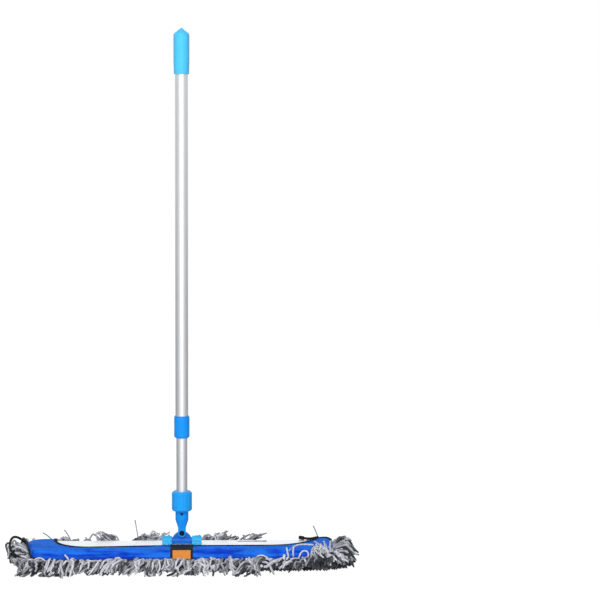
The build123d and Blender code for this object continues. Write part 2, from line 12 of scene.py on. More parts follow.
import bpy
from mathutils import Matrix, Vector, noise
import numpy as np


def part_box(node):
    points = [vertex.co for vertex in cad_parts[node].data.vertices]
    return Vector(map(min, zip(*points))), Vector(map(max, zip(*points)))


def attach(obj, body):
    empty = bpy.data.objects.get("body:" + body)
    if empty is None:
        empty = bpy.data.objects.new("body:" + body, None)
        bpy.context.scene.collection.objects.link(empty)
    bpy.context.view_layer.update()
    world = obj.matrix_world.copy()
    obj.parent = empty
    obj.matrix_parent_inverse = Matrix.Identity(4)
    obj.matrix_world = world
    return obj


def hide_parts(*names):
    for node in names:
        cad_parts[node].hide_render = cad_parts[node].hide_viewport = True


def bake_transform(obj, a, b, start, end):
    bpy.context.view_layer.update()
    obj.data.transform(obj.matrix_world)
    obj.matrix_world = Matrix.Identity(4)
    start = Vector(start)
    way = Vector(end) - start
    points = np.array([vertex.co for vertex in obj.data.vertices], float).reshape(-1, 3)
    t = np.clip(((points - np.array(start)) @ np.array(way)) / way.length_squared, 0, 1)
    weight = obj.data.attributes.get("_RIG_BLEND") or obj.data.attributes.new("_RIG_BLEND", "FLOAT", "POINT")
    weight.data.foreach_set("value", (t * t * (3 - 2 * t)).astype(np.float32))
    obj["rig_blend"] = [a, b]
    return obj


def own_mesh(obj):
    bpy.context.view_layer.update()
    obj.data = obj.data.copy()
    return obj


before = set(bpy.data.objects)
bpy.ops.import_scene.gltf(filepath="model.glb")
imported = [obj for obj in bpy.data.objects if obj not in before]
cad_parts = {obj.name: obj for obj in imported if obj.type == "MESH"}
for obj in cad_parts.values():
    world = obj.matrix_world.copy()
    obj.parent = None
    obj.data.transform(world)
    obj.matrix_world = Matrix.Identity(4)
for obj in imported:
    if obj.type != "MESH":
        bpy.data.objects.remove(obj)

MM = 0.001
scene = bpy.context.scene
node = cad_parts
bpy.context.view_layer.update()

# %% [markdown]
# ## The camera
#
# The picture was taken from in front and a little above, with a long lens: the handle's sides stay almost
# parallel. Aiming a camera by hand and guessing its lens would never line up. Here its place, its aim and its
# small roll were worked out from points of the mop whose height is known, and are written as sizes in the
# room.

# %% Camera
EYE = Vector((0.058, -3.958, 0.934))
AIM = Vector((0.2358, 0.011, 0.5392))
ROLL = math.radians(0.27)
LENS = 120.0


def placed(name, data):
    """A new object in the scene."""
    made = bpy.data.objects.new(name, data)
    scene.collection.objects.link(made)
    return made


sight = (AIM - EYE).normalized()
level = sight.cross(Vector((0, 0, 1))).normalized()
upright = level.cross(sight)
right = level * math.cos(ROLL) + upright * math.sin(ROLL)
top = upright * math.cos(ROLL) - level * math.sin(ROLL)
camera = placed("camera", bpy.data.cameras.new("camera"))
camera.data.lens = LENS
camera.matrix_world = Matrix.Translation(EYE) @ Matrix((right, top, -sight)).transposed().to_4x4()
scene.camera = camera
print("camera", round((AIM - EYE).length, 2), "m from its aim")

# %% [markdown]
# ## Nodes as arithmetic
#
# Materials and Geometry Nodes are both trees of nodes, and a formula takes a dozen of them. Wiring each by
# hand hides the formula. A small class wraps a socket instead, so that `1 - mask` adds the Math node by
# itself, and one method makes any other node. Vectors go through Vector Math, because a Math node would turn
# them into one number.

# %% A value in a node tree
def arithmetic(operation):
    """An operator as two methods: with the value in front of the sign, and behind it."""
    def in_front(self, other):
        return self.graph.maths(operation, self, other)

    def behind(self, other):
        return self.graph.maths(operation, other, self)

    return in_front, behind


class Value:
    """A node's output; arithmetic on it adds Math or Vector Math nodes."""

    __add__, __radd__ = arithmetic("ADD")
    __sub__, __rsub__ = arithmetic("SUBTRACT")
    __mul__, __rmul__ = arithmetic("MULTIPLY")
    __truediv__, __rtruediv__ = arithmetic("DIVIDE")

    def __init__(self, graph, socket):
        self.graph = graph
        self.socket = socket

    def out(self, name):
        """Another output of the same node."""
        return Value(self.graph, self.socket.node.outputs[name])


def is_vector(term):
    """Whether a term of a formula has three parts."""
    if isinstance(term, Value):
        return term.socket.type in ("VECTOR", "RGBA")
    return isinstance(term, (tuple, Vector))


print("values with four operators")

# %% A tree that is built by calls
class Graph:
    """A node tree that is built by calls."""

    def __init__(self, tree):
        self.tree = tree

    def node(self, kind, settings=None, sockets=None, out=0):
        """Any node: its settings first, then the values or links of its sockets."""
        made = self.tree.nodes.new(kind)
        for name, setting in (settings or {}).items():
            setattr(made, name, setting)
        for name, term in (sockets or {}).items():
            self.feed(made.inputs[name], term)
        return Value(self, made.outputs[out])

    def feed(self, socket, term):
        """Links a value to a socket, or sets a plain number on it."""
        if isinstance(term, Value):
            self.tree.links.new(term.socket, socket)
        else:
            socket.default_value = term

    def maths(self, operation, *terms):
        """A Math node, or Vector Math where a term is a vector."""
        vectors = [is_vector(term) for term in terms]
        sockets = dict(enumerate(terms))
        if not any(vectors):
            return self.node("ShaderNodeMath", {"operation": operation}, sockets)
        if operation == "MULTIPLY" and not all(vectors):
            operation = "SCALE"
            vector, scale = terms if vectors[0] else terms[::-1]
            sockets = {0: vector, "Scale": scale}
        return self.node("ShaderNodeVectorMath", {"operation": operation}, sockets)

    def split(self, vector):
        """The three parts of a vector."""
        parts = self.node("ShaderNodeSeparateXYZ", None, {0: vector})
        return parts, parts.out("Y"), parts.out("Z")

    def noise(self, where, scale, detail=2.0, out=0):
        """Soft random values from 0 to 1."""
        sockets = {"Vector": where, "Scale": scale, "Detail": detail}
        return self.node("ShaderNodeTexNoise", None, sockets, out)

    def span(self, term, low, high, to_low=0.0, to_high=1.0):
        """Moves a value smoothly from one range to another, and holds it there."""
        sockets = {"Value": term, "From Min": low, "From Max": high, "To Min": to_low, "To Max": to_high}
        return self.node("ShaderNodeMapRange", {"interpolation_type": "SMOOTHSTEP"}, sockets)


print("trees built by calls")

# %% A material that is built by calls
def paint(red, green, blue):
    """A colour as it looks on screen, 0 to 255, in the linear light that Blender works in."""
    shares = [part / 255 for part in (red, green, blue)]
    linear = [part / 12.92 if part <= 0.04045 else ((part + 0.055) / 1.055) ** 2.4 for part in shares]
    return (*linear, 1.0)


class Finish(Graph):
    """A material: constants go on the shader's own sockets, what varies is linked to them."""

    def __init__(self, name, **sockets):
        self.material = bpy.data.materials.new(name)
        self.material.use_nodes = True
        super().__init__(self.material.node_tree)
        self.shader = self.tree.nodes["Principled BSDF"]
        self.set(**sockets)

    def set(self, **sockets):
        """Sets or links inputs of the shader, with _ for a space, and returns the material."""
        for name, term in sockets.items():
            self.feed(self.shader.inputs[name.replace("_", " ")], term)
        return self.material

    def place(self, stretch=(1.0, 1.0, 1.0)):
        """Where a point is on the object, stretched for a grain that runs one way."""
        where = self.node("ShaderNodeTexCoord", out="Object")
        return self.node("ShaderNodeMapping", None, {"Vector": where, "Scale": stretch})

    def attribute(self, name, out="Fac"):
        """A value that the mesh carries."""
        return self.node("ShaderNodeAttribute", {"attribute_name": name}, None, out)

    def mix(self, share, first, second):
        """A colour between two colours."""
        return self.node("ShaderNodeMix", {"data_type": "RGBA"}, {0: share, 6: first, 7: second}, 2)

    def bump(self, height, distance, **sockets):
        """A normal that leans with a height."""
        return self.node("ShaderNodeBump", None, {"Height": height, "Distance": distance, **sockets})


print("materials built by calls")

# %% [markdown]
# ## Floor and light
#
# The mop stands on white paper with no edge in sight. One broad lamp above the camera shapes it, one beside
# the camera opens the front, and an even grey world fills the rest. Stronger lamps would only burn the mop
# out, so the white is shown to the camera by a Light Path switch instead: the paper glows to the eye and
# still lights and shades plainly.

# %% Floor
PAPER_REACH = 8.0
PAPER_GLOW = 1.14


def studio_floor(glow, side_grey):
    """White paper that glows to the eye and keeps a faint shadow; a mirror sees it grey at the sides."""
    corners = ((-1, -1), (1, -1), (1, 1), (-1, 1))
    mesh = bpy.data.meshes.new("floor")
    mesh.from_pydata([(x * PAPER_REACH, y * PAPER_REACH, 0) for x, y in corners], [], [(0, 1, 2, 3)])
    floor = placed("floor", mesh)
    f = Finish("floor", Roughness=0.9, Specular_IOR_Level=0.0)
    f.set(Base_Color=f.mix(f.noise(f.place(), 3.0), paint(250, 250, 250), paint(254, 254, 254)))
    ray = f.node("ShaderNodeLightPath")
    mirrored = f.maths("MAXIMUM", ray.out("Is Glossy Ray"), ray.out("Is Transmission Ray"))
    toward_back = f.split(f.maths("NORMALIZE", f.place()))[1]
    in_front = f.span(toward_back, -0.35, -0.75, side_grey, 1.0)
    strength = PAPER_GLOW + mirrored * (in_front - PAPER_GLOW)
    white = f.node("ShaderNodeEmission", None, {"Strength": strength})
    shown = f.maths("MAXIMUM", ray, mirrored) * glow
    paper = Value(f, f.shader.outputs[0])
    f.feed(f.tree.nodes["Material Output"].inputs["Surface"],
           f.node("ShaderNodeMixShader", None, {0: shown, 1: paper, 2: white}))
    mesh.materials.append(f.material)


studio_floor(glow=0.86, side_grey=0.3)
print("white paper,", 2 * PAPER_REACH, "m wide")

# %% Lamps and world
def soft_lamp(name, place, aim, size, power):
    """A square lamp that faces a point."""
    data = bpy.data.lights.new(name, "AREA")
    data.size = size
    data.energy = power
    lamp = placed(name, data)
    lamp.location = place
    lamp.rotation_euler = (Vector(aim) - Vector(place)).to_track_quat("-Z", "Y").to_euler()


def studio_world(grey):
    """Grey light all round; white where the camera or a reflection looks past the floor."""
    world = bpy.data.worlds.new("studio")
    world.use_nodes = True
    graph = Graph(world.node_tree)
    background = world.node_tree.nodes["Background"]
    ray = graph.node("ShaderNodeLightPath")
    seen = ray
    for kind in ("Is Glossy Ray", "Is Transmission Ray"):
        seen = graph.maths("MAXIMUM", seen, ray.out(kind))
    graph.feed(background.inputs["Strength"], grey + seen * (1 - grey))
    background.inputs["Color"].default_value = (1, 1, 1, 1)
    scene.world = world


soft_lamp("key", place=(-0.5, -2.7, 3.0), aim=(0, 0, 0.3), size=1.4, power=86)
soft_lamp("front", place=(0.2, -4.2, 1.4), aim=(0, 0, 0.5), size=2.0, power=56)
studio_world(grey=0.25)
scene.view_settings.view_transform = "Standard"
print("two lamps and a grey world")

# %% [markdown]
# ## Trees that grow meshes
#
# What repeats or follows a path is grown by Geometry Nodes. A tree is built once, with named inputs for its
# sizes, and then run on many carriers: thin meshes of points and edges that only say where something goes.
# The result is kept as a plain mesh, because instances are lost when a model leaves Blender.

# %% A tree with named inputs
class Grower(Graph):
    """A Geometry Nodes tree; each named input is also a value of that name here, such as g.Radius."""

    KINDS = {int: "NodeSocketInt", float: "NodeSocketFloat", type(None): "NodeSocketMaterial"}

    def __init__(self, name, **inputs):
        super().__init__(bpy.data.node_groups.new(name, "GeometryNodeTree"))
        face = self.tree.interface
        for way in ("OUTPUT", "INPUT"):
            face.new_socket("Geometry", in_out=way, socket_type="NodeSocketGeometry")
        self.socket_of = {}
        for label, default in inputs.items():
            made = face.new_socket(label, in_out="INPUT", socket_type=self.KINDS[type(default)])
            if default is not None:
                made.default_value = default
            self.socket_of[label] = made.identifier
        given = self.node("NodeGroupInput")
        for label in ("Geometry", *inputs):
            setattr(self, label, given.out(label))

    def keep(self, geometry, name, term, kind="FLOAT_VECTOR"):
        """Stores a value on every point under a name."""
        sockets = {"Geometry": geometry, "Name": name, "Value": term}
        return self.node("GeometryNodeStoreNamedAttribute", {"data_type": kind}, sockets)

    def kept(self, name):
        """A vector that was stored under a name."""
        return self.node("GeometryNodeInputNamedAttribute", {"data_type": "FLOAT_VECTOR"}, {"Name": name})

    def end(self, geometry):
        """Real mesh, smooth, with its material, as the tree's result."""
        geometry = self.node("GeometryNodeRealizeInstances", None, {"Geometry": geometry})
        geometry = self.node("GeometryNodeSetShadeSmooth", None, {"Geometry": geometry})
        sockets = {"Geometry": geometry, "Material": self.Material}
        geometry = self.node("GeometryNodeSetMaterial", None, sockets)
        self.feed(self.tree.nodes.new("NodeGroupOutput").inputs["Geometry"], geometry)
        return self

    def sweep(self, line, along, tone_and_shade, radius):
        """Ends the tree with a round section along a line; each point knows where it is on it."""
        line = self.keep(line, "along", along, "FLOAT")
        line = self.keep(line, "tone_and_shade", tone_and_shade, "FLOAT")
        ring = self.node("GeometryNodeCurvePrimitiveCircle", None, {"Resolution": self.Sides, "Radius": 1.0})
        ring = self.keep(ring, "around", self.node("GeometryNodeInputPosition"))
        sockets = {"Curve": line, "Profile Curve": ring, "Scale": radius, "Fill Caps": True}
        return self.end(self.node("GeometryNodeCurveToMesh", None, sockets))


print("trees that grow meshes")

# %% Carriers and growing
KEPT_ATTRIBUTES = ("position", "tone_and_shade", "along", "around")


def carrier(runs, closed=False, ups=None):
    """A thin mesh of points and edges for a tree to grow on; ups says which way is up at each point."""
    edges = []
    first = 0
    for run in runs:
        last = first + len(run) - 1
        edges += [(i, i + 1) for i in range(first, last)]
        if closed:
            edges.append((last, first))
        first = last + 1
    mesh = bpy.data.meshes.new("carrier")
    mesh.from_pydata([place for run in runs for place in run], edges, [])
    if ups:
        stored = mesh.attributes.new("up", "FLOAT_VECTOR", "POINT")
        for point, up in zip(stored.data, ups):
            point.vector = up
    return mesh


def plain_mesh(holder):
    """What an object's modifiers make of it, as a mesh of its own; the object itself goes."""
    depsgraph = bpy.context.evaluated_depsgraph_get()
    mesh = bpy.data.meshes.new_from_object(holder.evaluated_get(depsgraph), depsgraph=depsgraph)
    bpy.data.objects.remove(holder)
    return mesh


def grown(grower, mesh, **sizes):
    """Runs a tree on a carrier and returns the result as a plain mesh."""
    holder = placed("holder", mesh)
    modifier = holder.modifiers.new("grow", "NODES")
    modifier.node_group = grower.tree
    for label, size in sizes.items():
        modifier[grower.socket_of[label]] = size
    result = plain_mesh(holder)
    for stored in [a.name for a in result.attributes if a.domain == "POINT" and not a.is_internal]:
        if stored not in KEPT_ATTRIBUTES:
            result.attributes.remove(result.attributes[stored])
    return result


def piece(name, mesh, replaced=()):
    """An object of the mop that rides on the head, in place of the CAD parts that it hides."""
    mesh.name = name
    made = placed(name, mesh)
    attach(made, "head")
    if replaced:
        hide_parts(*replaced)
    print(name, len(mesh.polygons), "faces")
    return made


print("carriers and pieces ready")

# %% [markdown]
# ## Tape, cord and binding
#
# The black binding round the pad, the binding of the pocket's mouth, the pull loop and the cord's free end
# are all the same thing to Blender: a soft section swept along a line. A curve with a bevel would do, but it
# carries no record of how far along and how far round a point is, and a braid needs both. So a tree sweeps
# the section and stores them.

# %% Tree for tape and cord
def braid_grower():
    """Sweeps a round section along the carrier's edges."""
    g = Grower("braid", Radius=0.003, Sides=10, Step=0.003, Tone=0.5, Material=None)
    line = g.node("GeometryNodeMeshToCurve", None, {"Mesh": g.Geometry})
    line = g.node("GeometryNodeResampleCurve", {"mode": "LENGTH"}, {"Curve": line, "Length": g.Step})
    line = g.node("GeometryNodeSetCurveNormal", {"mode": "Z_UP"}, {"Curve": line})
    length = g.node("GeometryNodeSplineParameter", out="Length")
    return g.sweep(line, length, g.Tone, g.Radius)


def winding(f, turns):
    """The two waves of a thread that winds round a swept section; their sum is the thread."""
    x, y = f.split(f.attribute("around", "Vector"))[:2]
    turn = f.attribute("along") * turns
    return x * f.maths("SINE", turn), y * f.maths("COSINE", turn)


def braid_finish(name, thread, gap, ribs):
    """Black braid: slanted threads that cross, with dark gaps between."""
    f = Finish(name, Sheen_Weight=0.02, Specular_IOR_Level=0.12)
    across, upward = winding(f, ribs)
    weave = f.maths("MAXIMUM", across + upward, upward - across) * 0.5 + 0.5
    fuzz = f.noise(f.place(), 900.0, 3.0)
    return f.set(Base_Color=f.mix(weave * 0.7 + fuzz * 0.3, gap, thread),
                 Roughness=0.95 - weave * 0.25,
                 Normal=f.bump(weave + fuzz * 0.3, 0.0004))


braid = braid_grower()
cord_black = braid_finish("black cord", paint(34, 35, 40), paint(7, 7, 9), 1400.0)
binding_black = braid_finish("black binding tape", paint(27, 29, 38), paint(7, 8, 12), 2600.0)
print("braid tree and two black finishes")

# %% [markdown]
# ## The two cords
#
# A loop of black cord hangs out of the pad's left end, to pull the pocket off the frame, and the mouth's
# drawstring ends in a short free tail with a stop. Each lies on one smooth NURBS line, because a cord has no
# corners. The line is turned into points and the braid is swept along them, and the length of each cord is
# measured along its line and printed.

# %% Cords
CORD_DIA = 5 * MM
LOOP_ROUTE = (
    (-0.3015, 0.0530, 0.0260),
    (-0.3145, 0.0570, 0.0365),
    (-0.3290, 0.0505, 0.0505),
    (-0.3395, 0.0345, 0.0570),
    (-0.3435, 0.0130, 0.0545),
    (-0.3435, -0.0085, 0.0485),
    (-0.3395, -0.0285, 0.0420),
    (-0.3290, -0.0440, 0.0365),
    (-0.3145, -0.0528, 0.0310),
    (-0.3015, -0.0530, 0.0260),
)
TAIL_ROUTE = (
    (0.2770, 0.0545, 0.0476),
    (0.2717, 0.0482, 0.0488),
    (0.2645, 0.0444, 0.0476),
    (0.2563, 0.0438, 0.0472),
    (0.2486, 0.0466, 0.0478),
)


def smooth_line(route):
    """Points along the NURBS line that a route's points pull into shape."""
    data = bpy.data.curves.new("route", "CURVE")
    data.dimensions = "3D"
    spline = data.splines.new("NURBS")
    spline.points.add(len(route) - 1)
    for point, place in zip(spline.points, route):
        point.co = (*place, 1.0)
    spline.order_u = 3
    spline.use_endpoint_u = True
    spline.resolution_u = 12
    holder = placed("route", data)
    line = bpy.data.meshes.new_from_object(holder)
    bpy.data.objects.remove(holder)
    return [vertex.co.copy() for vertex in line.vertices]


def make_cord(name, route, replaced):
    """A braided cord along a route, with its length printed."""
    line = smooth_line(route)
    mesh = grown(braid, carrier([line]), Radius=CORD_DIA / 2, Sides=12, Step=2 * MM, Material=cord_black)
    made = piece(name, mesh, [replaced])
    print(name, "length", round(sum((b - a).length for a, b in zip(line, line[1:])), 4))


node["cord_stop"].data.materials[0] = cord_black
make_cord("pull_cord", LOOP_ROUTE, "pull_loop")
make_cord("tail_cord", TAIL_ROUTE, "cord_tail")

# %% [markdown]
# ## Moulded plastic
#
# The swivel, the nuts and the handle's end are moulded in bright blue polypropylene. Such plastic is never
# one flat colour: it is slightly cloudy, it has a fine satin grain from the mould, and its edges are rounded
# and rubbed pale. A Bevel node rounds the CAD's sharp edges in the shading and, compared with the true
# normal, also finds those edges.

# %% Plastic
def moulded(name, colour, deep, edge_radius, rough):
    """Moulded plastic, cloudy, with a satin grain and rubbed edges."""
    f = Finish(name, Specular_IOR_Level=0.16)
    where = f.place()
    cloud = f.noise(where, 45.0, 3.0)
    grain = f.noise(where, 1800.0, 2.0)
    rounded_edge = f.node("ShaderNodeBevel", {"samples": 4}, {"Radius": edge_radius})
    true_normal = f.node("ShaderNodeNewGeometry", out="Normal")
    facing = f.maths("DOT_PRODUCT", rounded_edge, true_normal).out("Value")
    rubbed = f.span(1 - facing, 0.02, 0.3) * f.noise(where, 160.0, 2.0)
    body = f.mix(cloud, deep, colour)
    return f.set(Base_Color=f.mix(rubbed * 0.5, body, paint(170, 222, 250)),
                 Roughness=rough + cloud * 0.08 + rubbed * 0.2,
                 Normal=f.bump(grain, 0.00002, Normal=rounded_edge))


def dress(finish, *names):
    """Puts a finish on CAD nodes."""
    for name in names:
        node[name].data.materials[0] = finish
    print(finish.name, "on", ", ".join(names))


def dress_all(maker, rows):
    """Makes a finish from each row of a table and puts it on the nodes at the row's end."""
    for name, colour, deep, grain, rough, *names in rows:
        dress(maker(name, paint(*colour), paint(*deep), grain, rough), *names)


SATIN = 0.36
# Each row: name, colour, deep colour, radius of the edges, roughness, nodes.
PLASTICS = (
    ("nut blue", (32, 166, 246), (22, 152, 238), 0.8 * MM, SATIN, "clamp_nut"),
    ("collar blue", (26, 152, 244), (18, 138, 236), 0.8 * MM, SATIN, "twist_collar", "lock_sleeve"),
    ("neck blue", (12, 154, 244), (8, 140, 234), 0.7 * MM, SATIN, "neck_socket"),
    # The yoke's blue is darker than the neck's partly as painted shade, for the half-moon that stands in
    # shade.
    ("yoke blue", (22, 114, 214), (12, 96, 198), 0.9 * MM, SATIN, "yoke"),
    ("block cyan", (52, 184, 238), (40, 172, 230), 0.8 * MM, SATIN,
     "bearing_block_left", "bearing_block_right"),
    ("cap blue", (82, 196, 246), (68, 182, 238), 0.8 * MM, SATIN, "handle_cap"),
    ("plug blue", (36, 132, 226), (26, 118, 214), 0.8 * MM, SATIN, "end_cap_left", "end_cap_right"),
    ("grey nylon", (70, 74, 82), (58, 60, 68), 0.4 * MM, 0.5, "tube_guide"),
    ("black plastic", (28, 29, 32), (18, 18, 20), 0.4 * MM, 0.42, "snap_button"),
)
dress_all(moulded, PLASTICS)

# %% [markdown]
# ## Satin aluminium
#
# The tubes are drawn through a die and anodised, and the frame is pushed through one. Both leave faint lines
# along the metal, which spread a highlight across it. Noise stretched hard along one axis gives those lines.
# They go into roughness and bump more than into colour, because on metal a line is seen by how it reflects.

# %% Metal
def satin_metal(name, colour, deep, stretch, rough):
    """Drawn metal with lines along its length."""
    f = Finish(name, Metallic=1.0)
    lines = f.noise(f.place(stretch), 1.0, 4.0)
    cloud = f.noise(f.place(), 14.0, 3.0)
    return f.set(Base_Color=f.mix(lines * 0.6 + cloud * 0.4, deep, colour),
                 Roughness=rough + lines * 0.12 + cloud * 0.06,
                 Normal=f.bump(lines, 0.00003))


ALONG_HANDLE = (1500.0, 1500.0, 5.0)
ALONG_HEAD = (4.0, 900.0, 900.0)
EVEN_GRAIN = (300.0, 300.0, 300.0)
# Each row: name, colour, deep colour, stretch of the grain, roughness, nodes.
METALS = (
    ("satin tube", (226, 227, 229), (206, 208, 211), ALONG_HANDLE, 0.34, "inner_tube", "outer_tube"),
    ("satin plate", (240, 243, 246), (229, 233, 237), ALONG_HEAD, 0.4, "frame_plate"),
    ("bright steel", (205, 206, 208), (180, 182, 186), EVEN_GRAIN, 0.28, "button_spring"),
    ("zinc steel", (166, 176, 186), (140, 150, 160), EVEN_GRAIN, 0.4, "block_screws"),
    ("black steel", (40, 40, 44), (22, 22, 25), EVEN_GRAIN, 0.4, "pivot_bolt", "pivot_nut"),
)
dress_all(satin_metal, METALS)

# %% [markdown]
# ## The spring behind the button
#
# The snap button is pushed against a bent leaf of steel inside the tube. A leaf that stays stiff would be
# cut by the button, so a copy of it is blended between two bodies: its back leg stays with the neck, its
# front leg goes with the button, and the bend between them closes.

# %% Spring leaf
LEAF_THICK = 0.6 * MM


def make_spring():
    """The leaf, with its front leg on the button."""
    low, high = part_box("button_spring")
    mesh = node["button_spring"].data.copy()
    mesh.transform(node["button_spring"].matrix_world)
    leaf = placed("spring_leaf", mesh)
    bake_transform(leaf, "neck", "snap_button", start=(0, high.y - LEAF_THICK, low.z),
             end=(0, low.y + LEAF_THICK, low.z))
    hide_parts("button_spring")
    print("spring leaf", len(mesh.polygons), "faces")


make_spring()

# %% [markdown]
# ## The sticker
#
# A small navy sticker with a white rim lies on the plate. It is printed flat, so its two colours are a mask
# on the object's own coordinates: how far a point is from the sticker's middle, measured against its half
# sizes. The field is left bare.

# %% Sticker
def sticker_finish(rim):
    """Navy gloss print inside a white rim."""
    low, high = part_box("plate_sticker")
    half = (high - low) / 2
    f = Finish("sticker print", Coat_Weight=1.0, Coat_Roughness=0.06)
    where = f.node("ShaderNodeTexCoord", out="Object")
    x, y = f.split(where - (low + high) / 2)[:2]
    from_end = half.x - f.maths("ABSOLUTE", x)
    from_side = half.y - f.maths("ABSOLUTE", y)
    field = f.span(f.maths("MINIMUM", from_end, from_side), rim * 0.85, rim * 1.15)
    scuff = f.noise(where, 240.0, 4.0)
    navy = f.mix(scuff, paint(22, 30, 104), paint(34, 44, 126))
    return f.set(Base_Color=f.mix(field, paint(236, 238, 242), navy), Roughness=0.28 + scuff * 0.15)


dress(sticker_finish(rim=1.6 * MM), "plate_sticker")

# %% [markdown]
# ## Yarn
#
# The fringe is well over a thousand twisted cotton yarns, sewn under the pad's edge and spread by use. Hair
# particles would be quick, but they leave no mesh, and modelling each strand by hand is hopeless. A Geometry
# Nodes tree grows them: a root every millimetre or two of the edge, a bent line from each root, noise for
# lean and curl, and a section swept along it. Neighbours read the same broad noise, so they lean together in
# clumps, as real yarn does.

# %% Tree for yarn
UP = (0.0, 0.0, 1.0)


def yarn_grower():
    """Grows bent strands, and some loops, outward from the carrier's edges."""
    g = Grower("yarn", Strands=100, Reach=0.046, Vary=0.25, Bend=0.5, Low_bend=0.010, High_bend=0.026,
               Low_tip=-0.0165, High_tip=-0.010, Wave=0.034, Lean=0.042, Slant=0.0, Clump=0.022, Curl=0.014,
               Loops=0.15, Loop_width=0.018, Radius=0.0024, Floor=0.0004, Joints=12, Sides=6, Seed=1,
               Low_tone=0.0, High_tone=1.0, Material=None)

    def chance(shift):
        """Three random numbers from 0 to 1 for each root."""
        return g.node("FunctionNodeRandomValue", {"data_type": "FLOAT_VECTOR"}, {"Seed": g.Seed + shift})

    # Roots along the edge, each with what its strand has to know, and a straight line on each.
    edge = g.node("GeometryNodeMeshToCurve", None, {"Mesh": g.Geometry})
    points = g.node("GeometryNodeCurveToPoints", {"mode": "COUNT"}, {"Curve": edge, "Count": g.Strands})
    along_edge = points.out("Tangent")
    known = {
        "side": along_edge,
        "outward": g.maths("CROSS_PRODUCT", along_edge, UP),
        "root": g.node("GeometryNodeInputPosition"),
        "luck": chance(0),
        "fate": chance(1),
    }
    for name, term in known.items():
        points = g.keep(points, name, term)
    line = g.node("GeometryNodeCurvePrimitiveLine", None, {"End": UP})
    line = g.node("GeometryNodeResampleCurve", {"mode": "COUNT"}, {"Curve": line, "Count": g.Joints})
    strands = g.node("GeometryNodeInstanceOnPoints", None, {"Points": points, "Instance": line})
    strands = g.node("GeometryNodeRealizeInstances", None, {"Geometry": strands})

    # Clump and swell are shared by neighbours, and luck and fate are each strand's own.
    t = g.node("GeometryNodeSplineParameter")
    side, outward, root, luck, fate = (g.kept(name) for name in known)
    lean_luck, reach_luck, layer_luck = g.split(luck)
    loop_luck, thick_luck, tone_luck = g.split(fate)
    layer = g.maths("POWER", layer_luck, 1.4)
    clump = g.noise(root, 1 / g.Clump, 1.0)
    swell = g.noise(root + (0.3, 0.7, 0.0), 0.7 / g.Clump)
    lean = ((clump - 0.5) * 4 + (lean_luck - 0.5) * 1.2) * g.Lean + g.Slant
    reach = g.Reach * (1 - reach_luck * g.Vary) * (0.4 + swell * 1.2) * (0.76 + layer * 0.24)
    bend_z = g.Low_bend + (g.High_bend - g.Low_bend) * layer * (0.35 + swell * 1.3)
    tip_z = g.Low_tip + (g.High_tip - g.Low_tip) * layer + (0.5 - swell) * g.Wave

    # A strand is a curve from root by bend to tip; a loop goes out and comes back beside its root.
    bend = root + outward * (reach * g.Bend) + side * (lean * 0.3) + UP * bend_z
    tip = root + outward * reach + side * lean + UP * tip_z
    back = 1 - t
    strand = root * (back * back) + bend * (back * t * 2) + tip * (t * t)
    arch = g.maths("SINE", t * math.pi)
    loop_side = side * (lean * arch + (t - 0.5) * g.Loop_width)
    loop = root + outward * (reach * arch * 0.85) + loop_side + UP * (tip_z * arch)
    looped = g.maths("LESS_THAN", loop_luck, g.Loops)
    place = g.node("ShaderNodeMix", {"data_type": "VECTOR"}, {0: looped, 4: strand, 5: loop}, 1)

    # The free part curls, and nothing sinks into the floor.
    wander = g.noise(luck * 40.0 + (1.0, 0.6, 0.3) * (t * 2.8), 1.0, 1.0, "Color")
    loose = g.span(t, 0.05, 0.7)
    place = place + (wander - (0.5, 0.5, 0.5)) * (g.Curl * loose * 2)
    x, y, z = g.split(place)
    z = g.maths("MAXIMUM", z, g.Radius + g.Floor)
    place = g.node("ShaderNodeCombineXYZ", None, {"X": x, "Y": y, "Z": z})
    strands = g.node("GeometryNodeSetPosition", None, {"Geometry": strands, "Position": place})

    # Painted shade: lower strands get a darker tone, mixed half and half with each strand's own random tone.
    tone_and_shade = g.Low_tone + (g.High_tone - g.Low_tone) * (layer * 0.5 + tone_luck * 0.5)
    frayed = g.span(t, 0.84, 1.0) * (1 - looped)
    thick = g.Radius * (0.85 + thick_luck * 0.3) * (1 - frayed * 0.35)
    return g.sweep(strands, t * reach, tone_and_shade, thick)


yarn = yarn_grower()
print("yarn tree with", len(yarn.tree.nodes), "nodes")

# %% Yarn finish
TWIST = 9 * MM


def yarn_finish():
    """Grey cotton yarn: twisted plies and fluffy fibres; painted shade darkens lower strands and roots."""
    f = Finish("grey mop yarn", Sheen_Weight=0.08, Sheen_Roughness=0.6, Specular_IOR_Level=0.1)
    across, upward = winding(f, 2 * math.pi / TWIST)
    ply = (across + upward) * 0.5 + 0.5
    fibre = f.noise(f.place(), 700.0, 3.0)
    lit = f.span(f.attribute("tone_and_shade"), 0.15, 0.9)
    light = f.mix(lit, paint(58, 60, 68), paint(222, 224, 231))
    dark = f.mix(lit, paint(20, 21, 27), paint(140, 142, 151))
    # Painted shade: the first millimetres from the root, which lie under the binding, are darker.
    painted_root_shade = f.span(f.attribute("along"), 0.002, 0.009, 0.4, 1.0)
    shade = f.span(ply * 0.2 + fibre * 0.6, 0.05, 0.5) * painted_root_shade
    return f.set(Base_Color=f.mix(shade, dark, light),
                 Roughness=0.95 - shade * 0.1,
                 Normal=f.bump(ply * 0.5 + fibre * 0.35, 0.0005))


yarn_grey = yarn_finish()
print(yarn_grey.name, "with a twist every", round(TWIST / MM), "mm")

# %% [markdown]
# ## The fringe
#
# The yarns are sewn along a line just inside the binding. That line follows the pad's rounded outline, so
# each side of the fringe is one stretch of it, drawn counter-clockwise: then the tangent turned by a quarter
# always points outward. The front drags on the floor and slants to the left, the ends are heaped, and the
# pad's back left corner is pulled askew by the loop.

# %% Outline of the pad
low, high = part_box("edge_piping")
BINDING_R = 2.5 * MM
BINDING_Z = (low.z + high.z) / 2
HALF_LENGTH = high.x - BINDING_R
HALF_DEPTH = high.y - BINDING_R
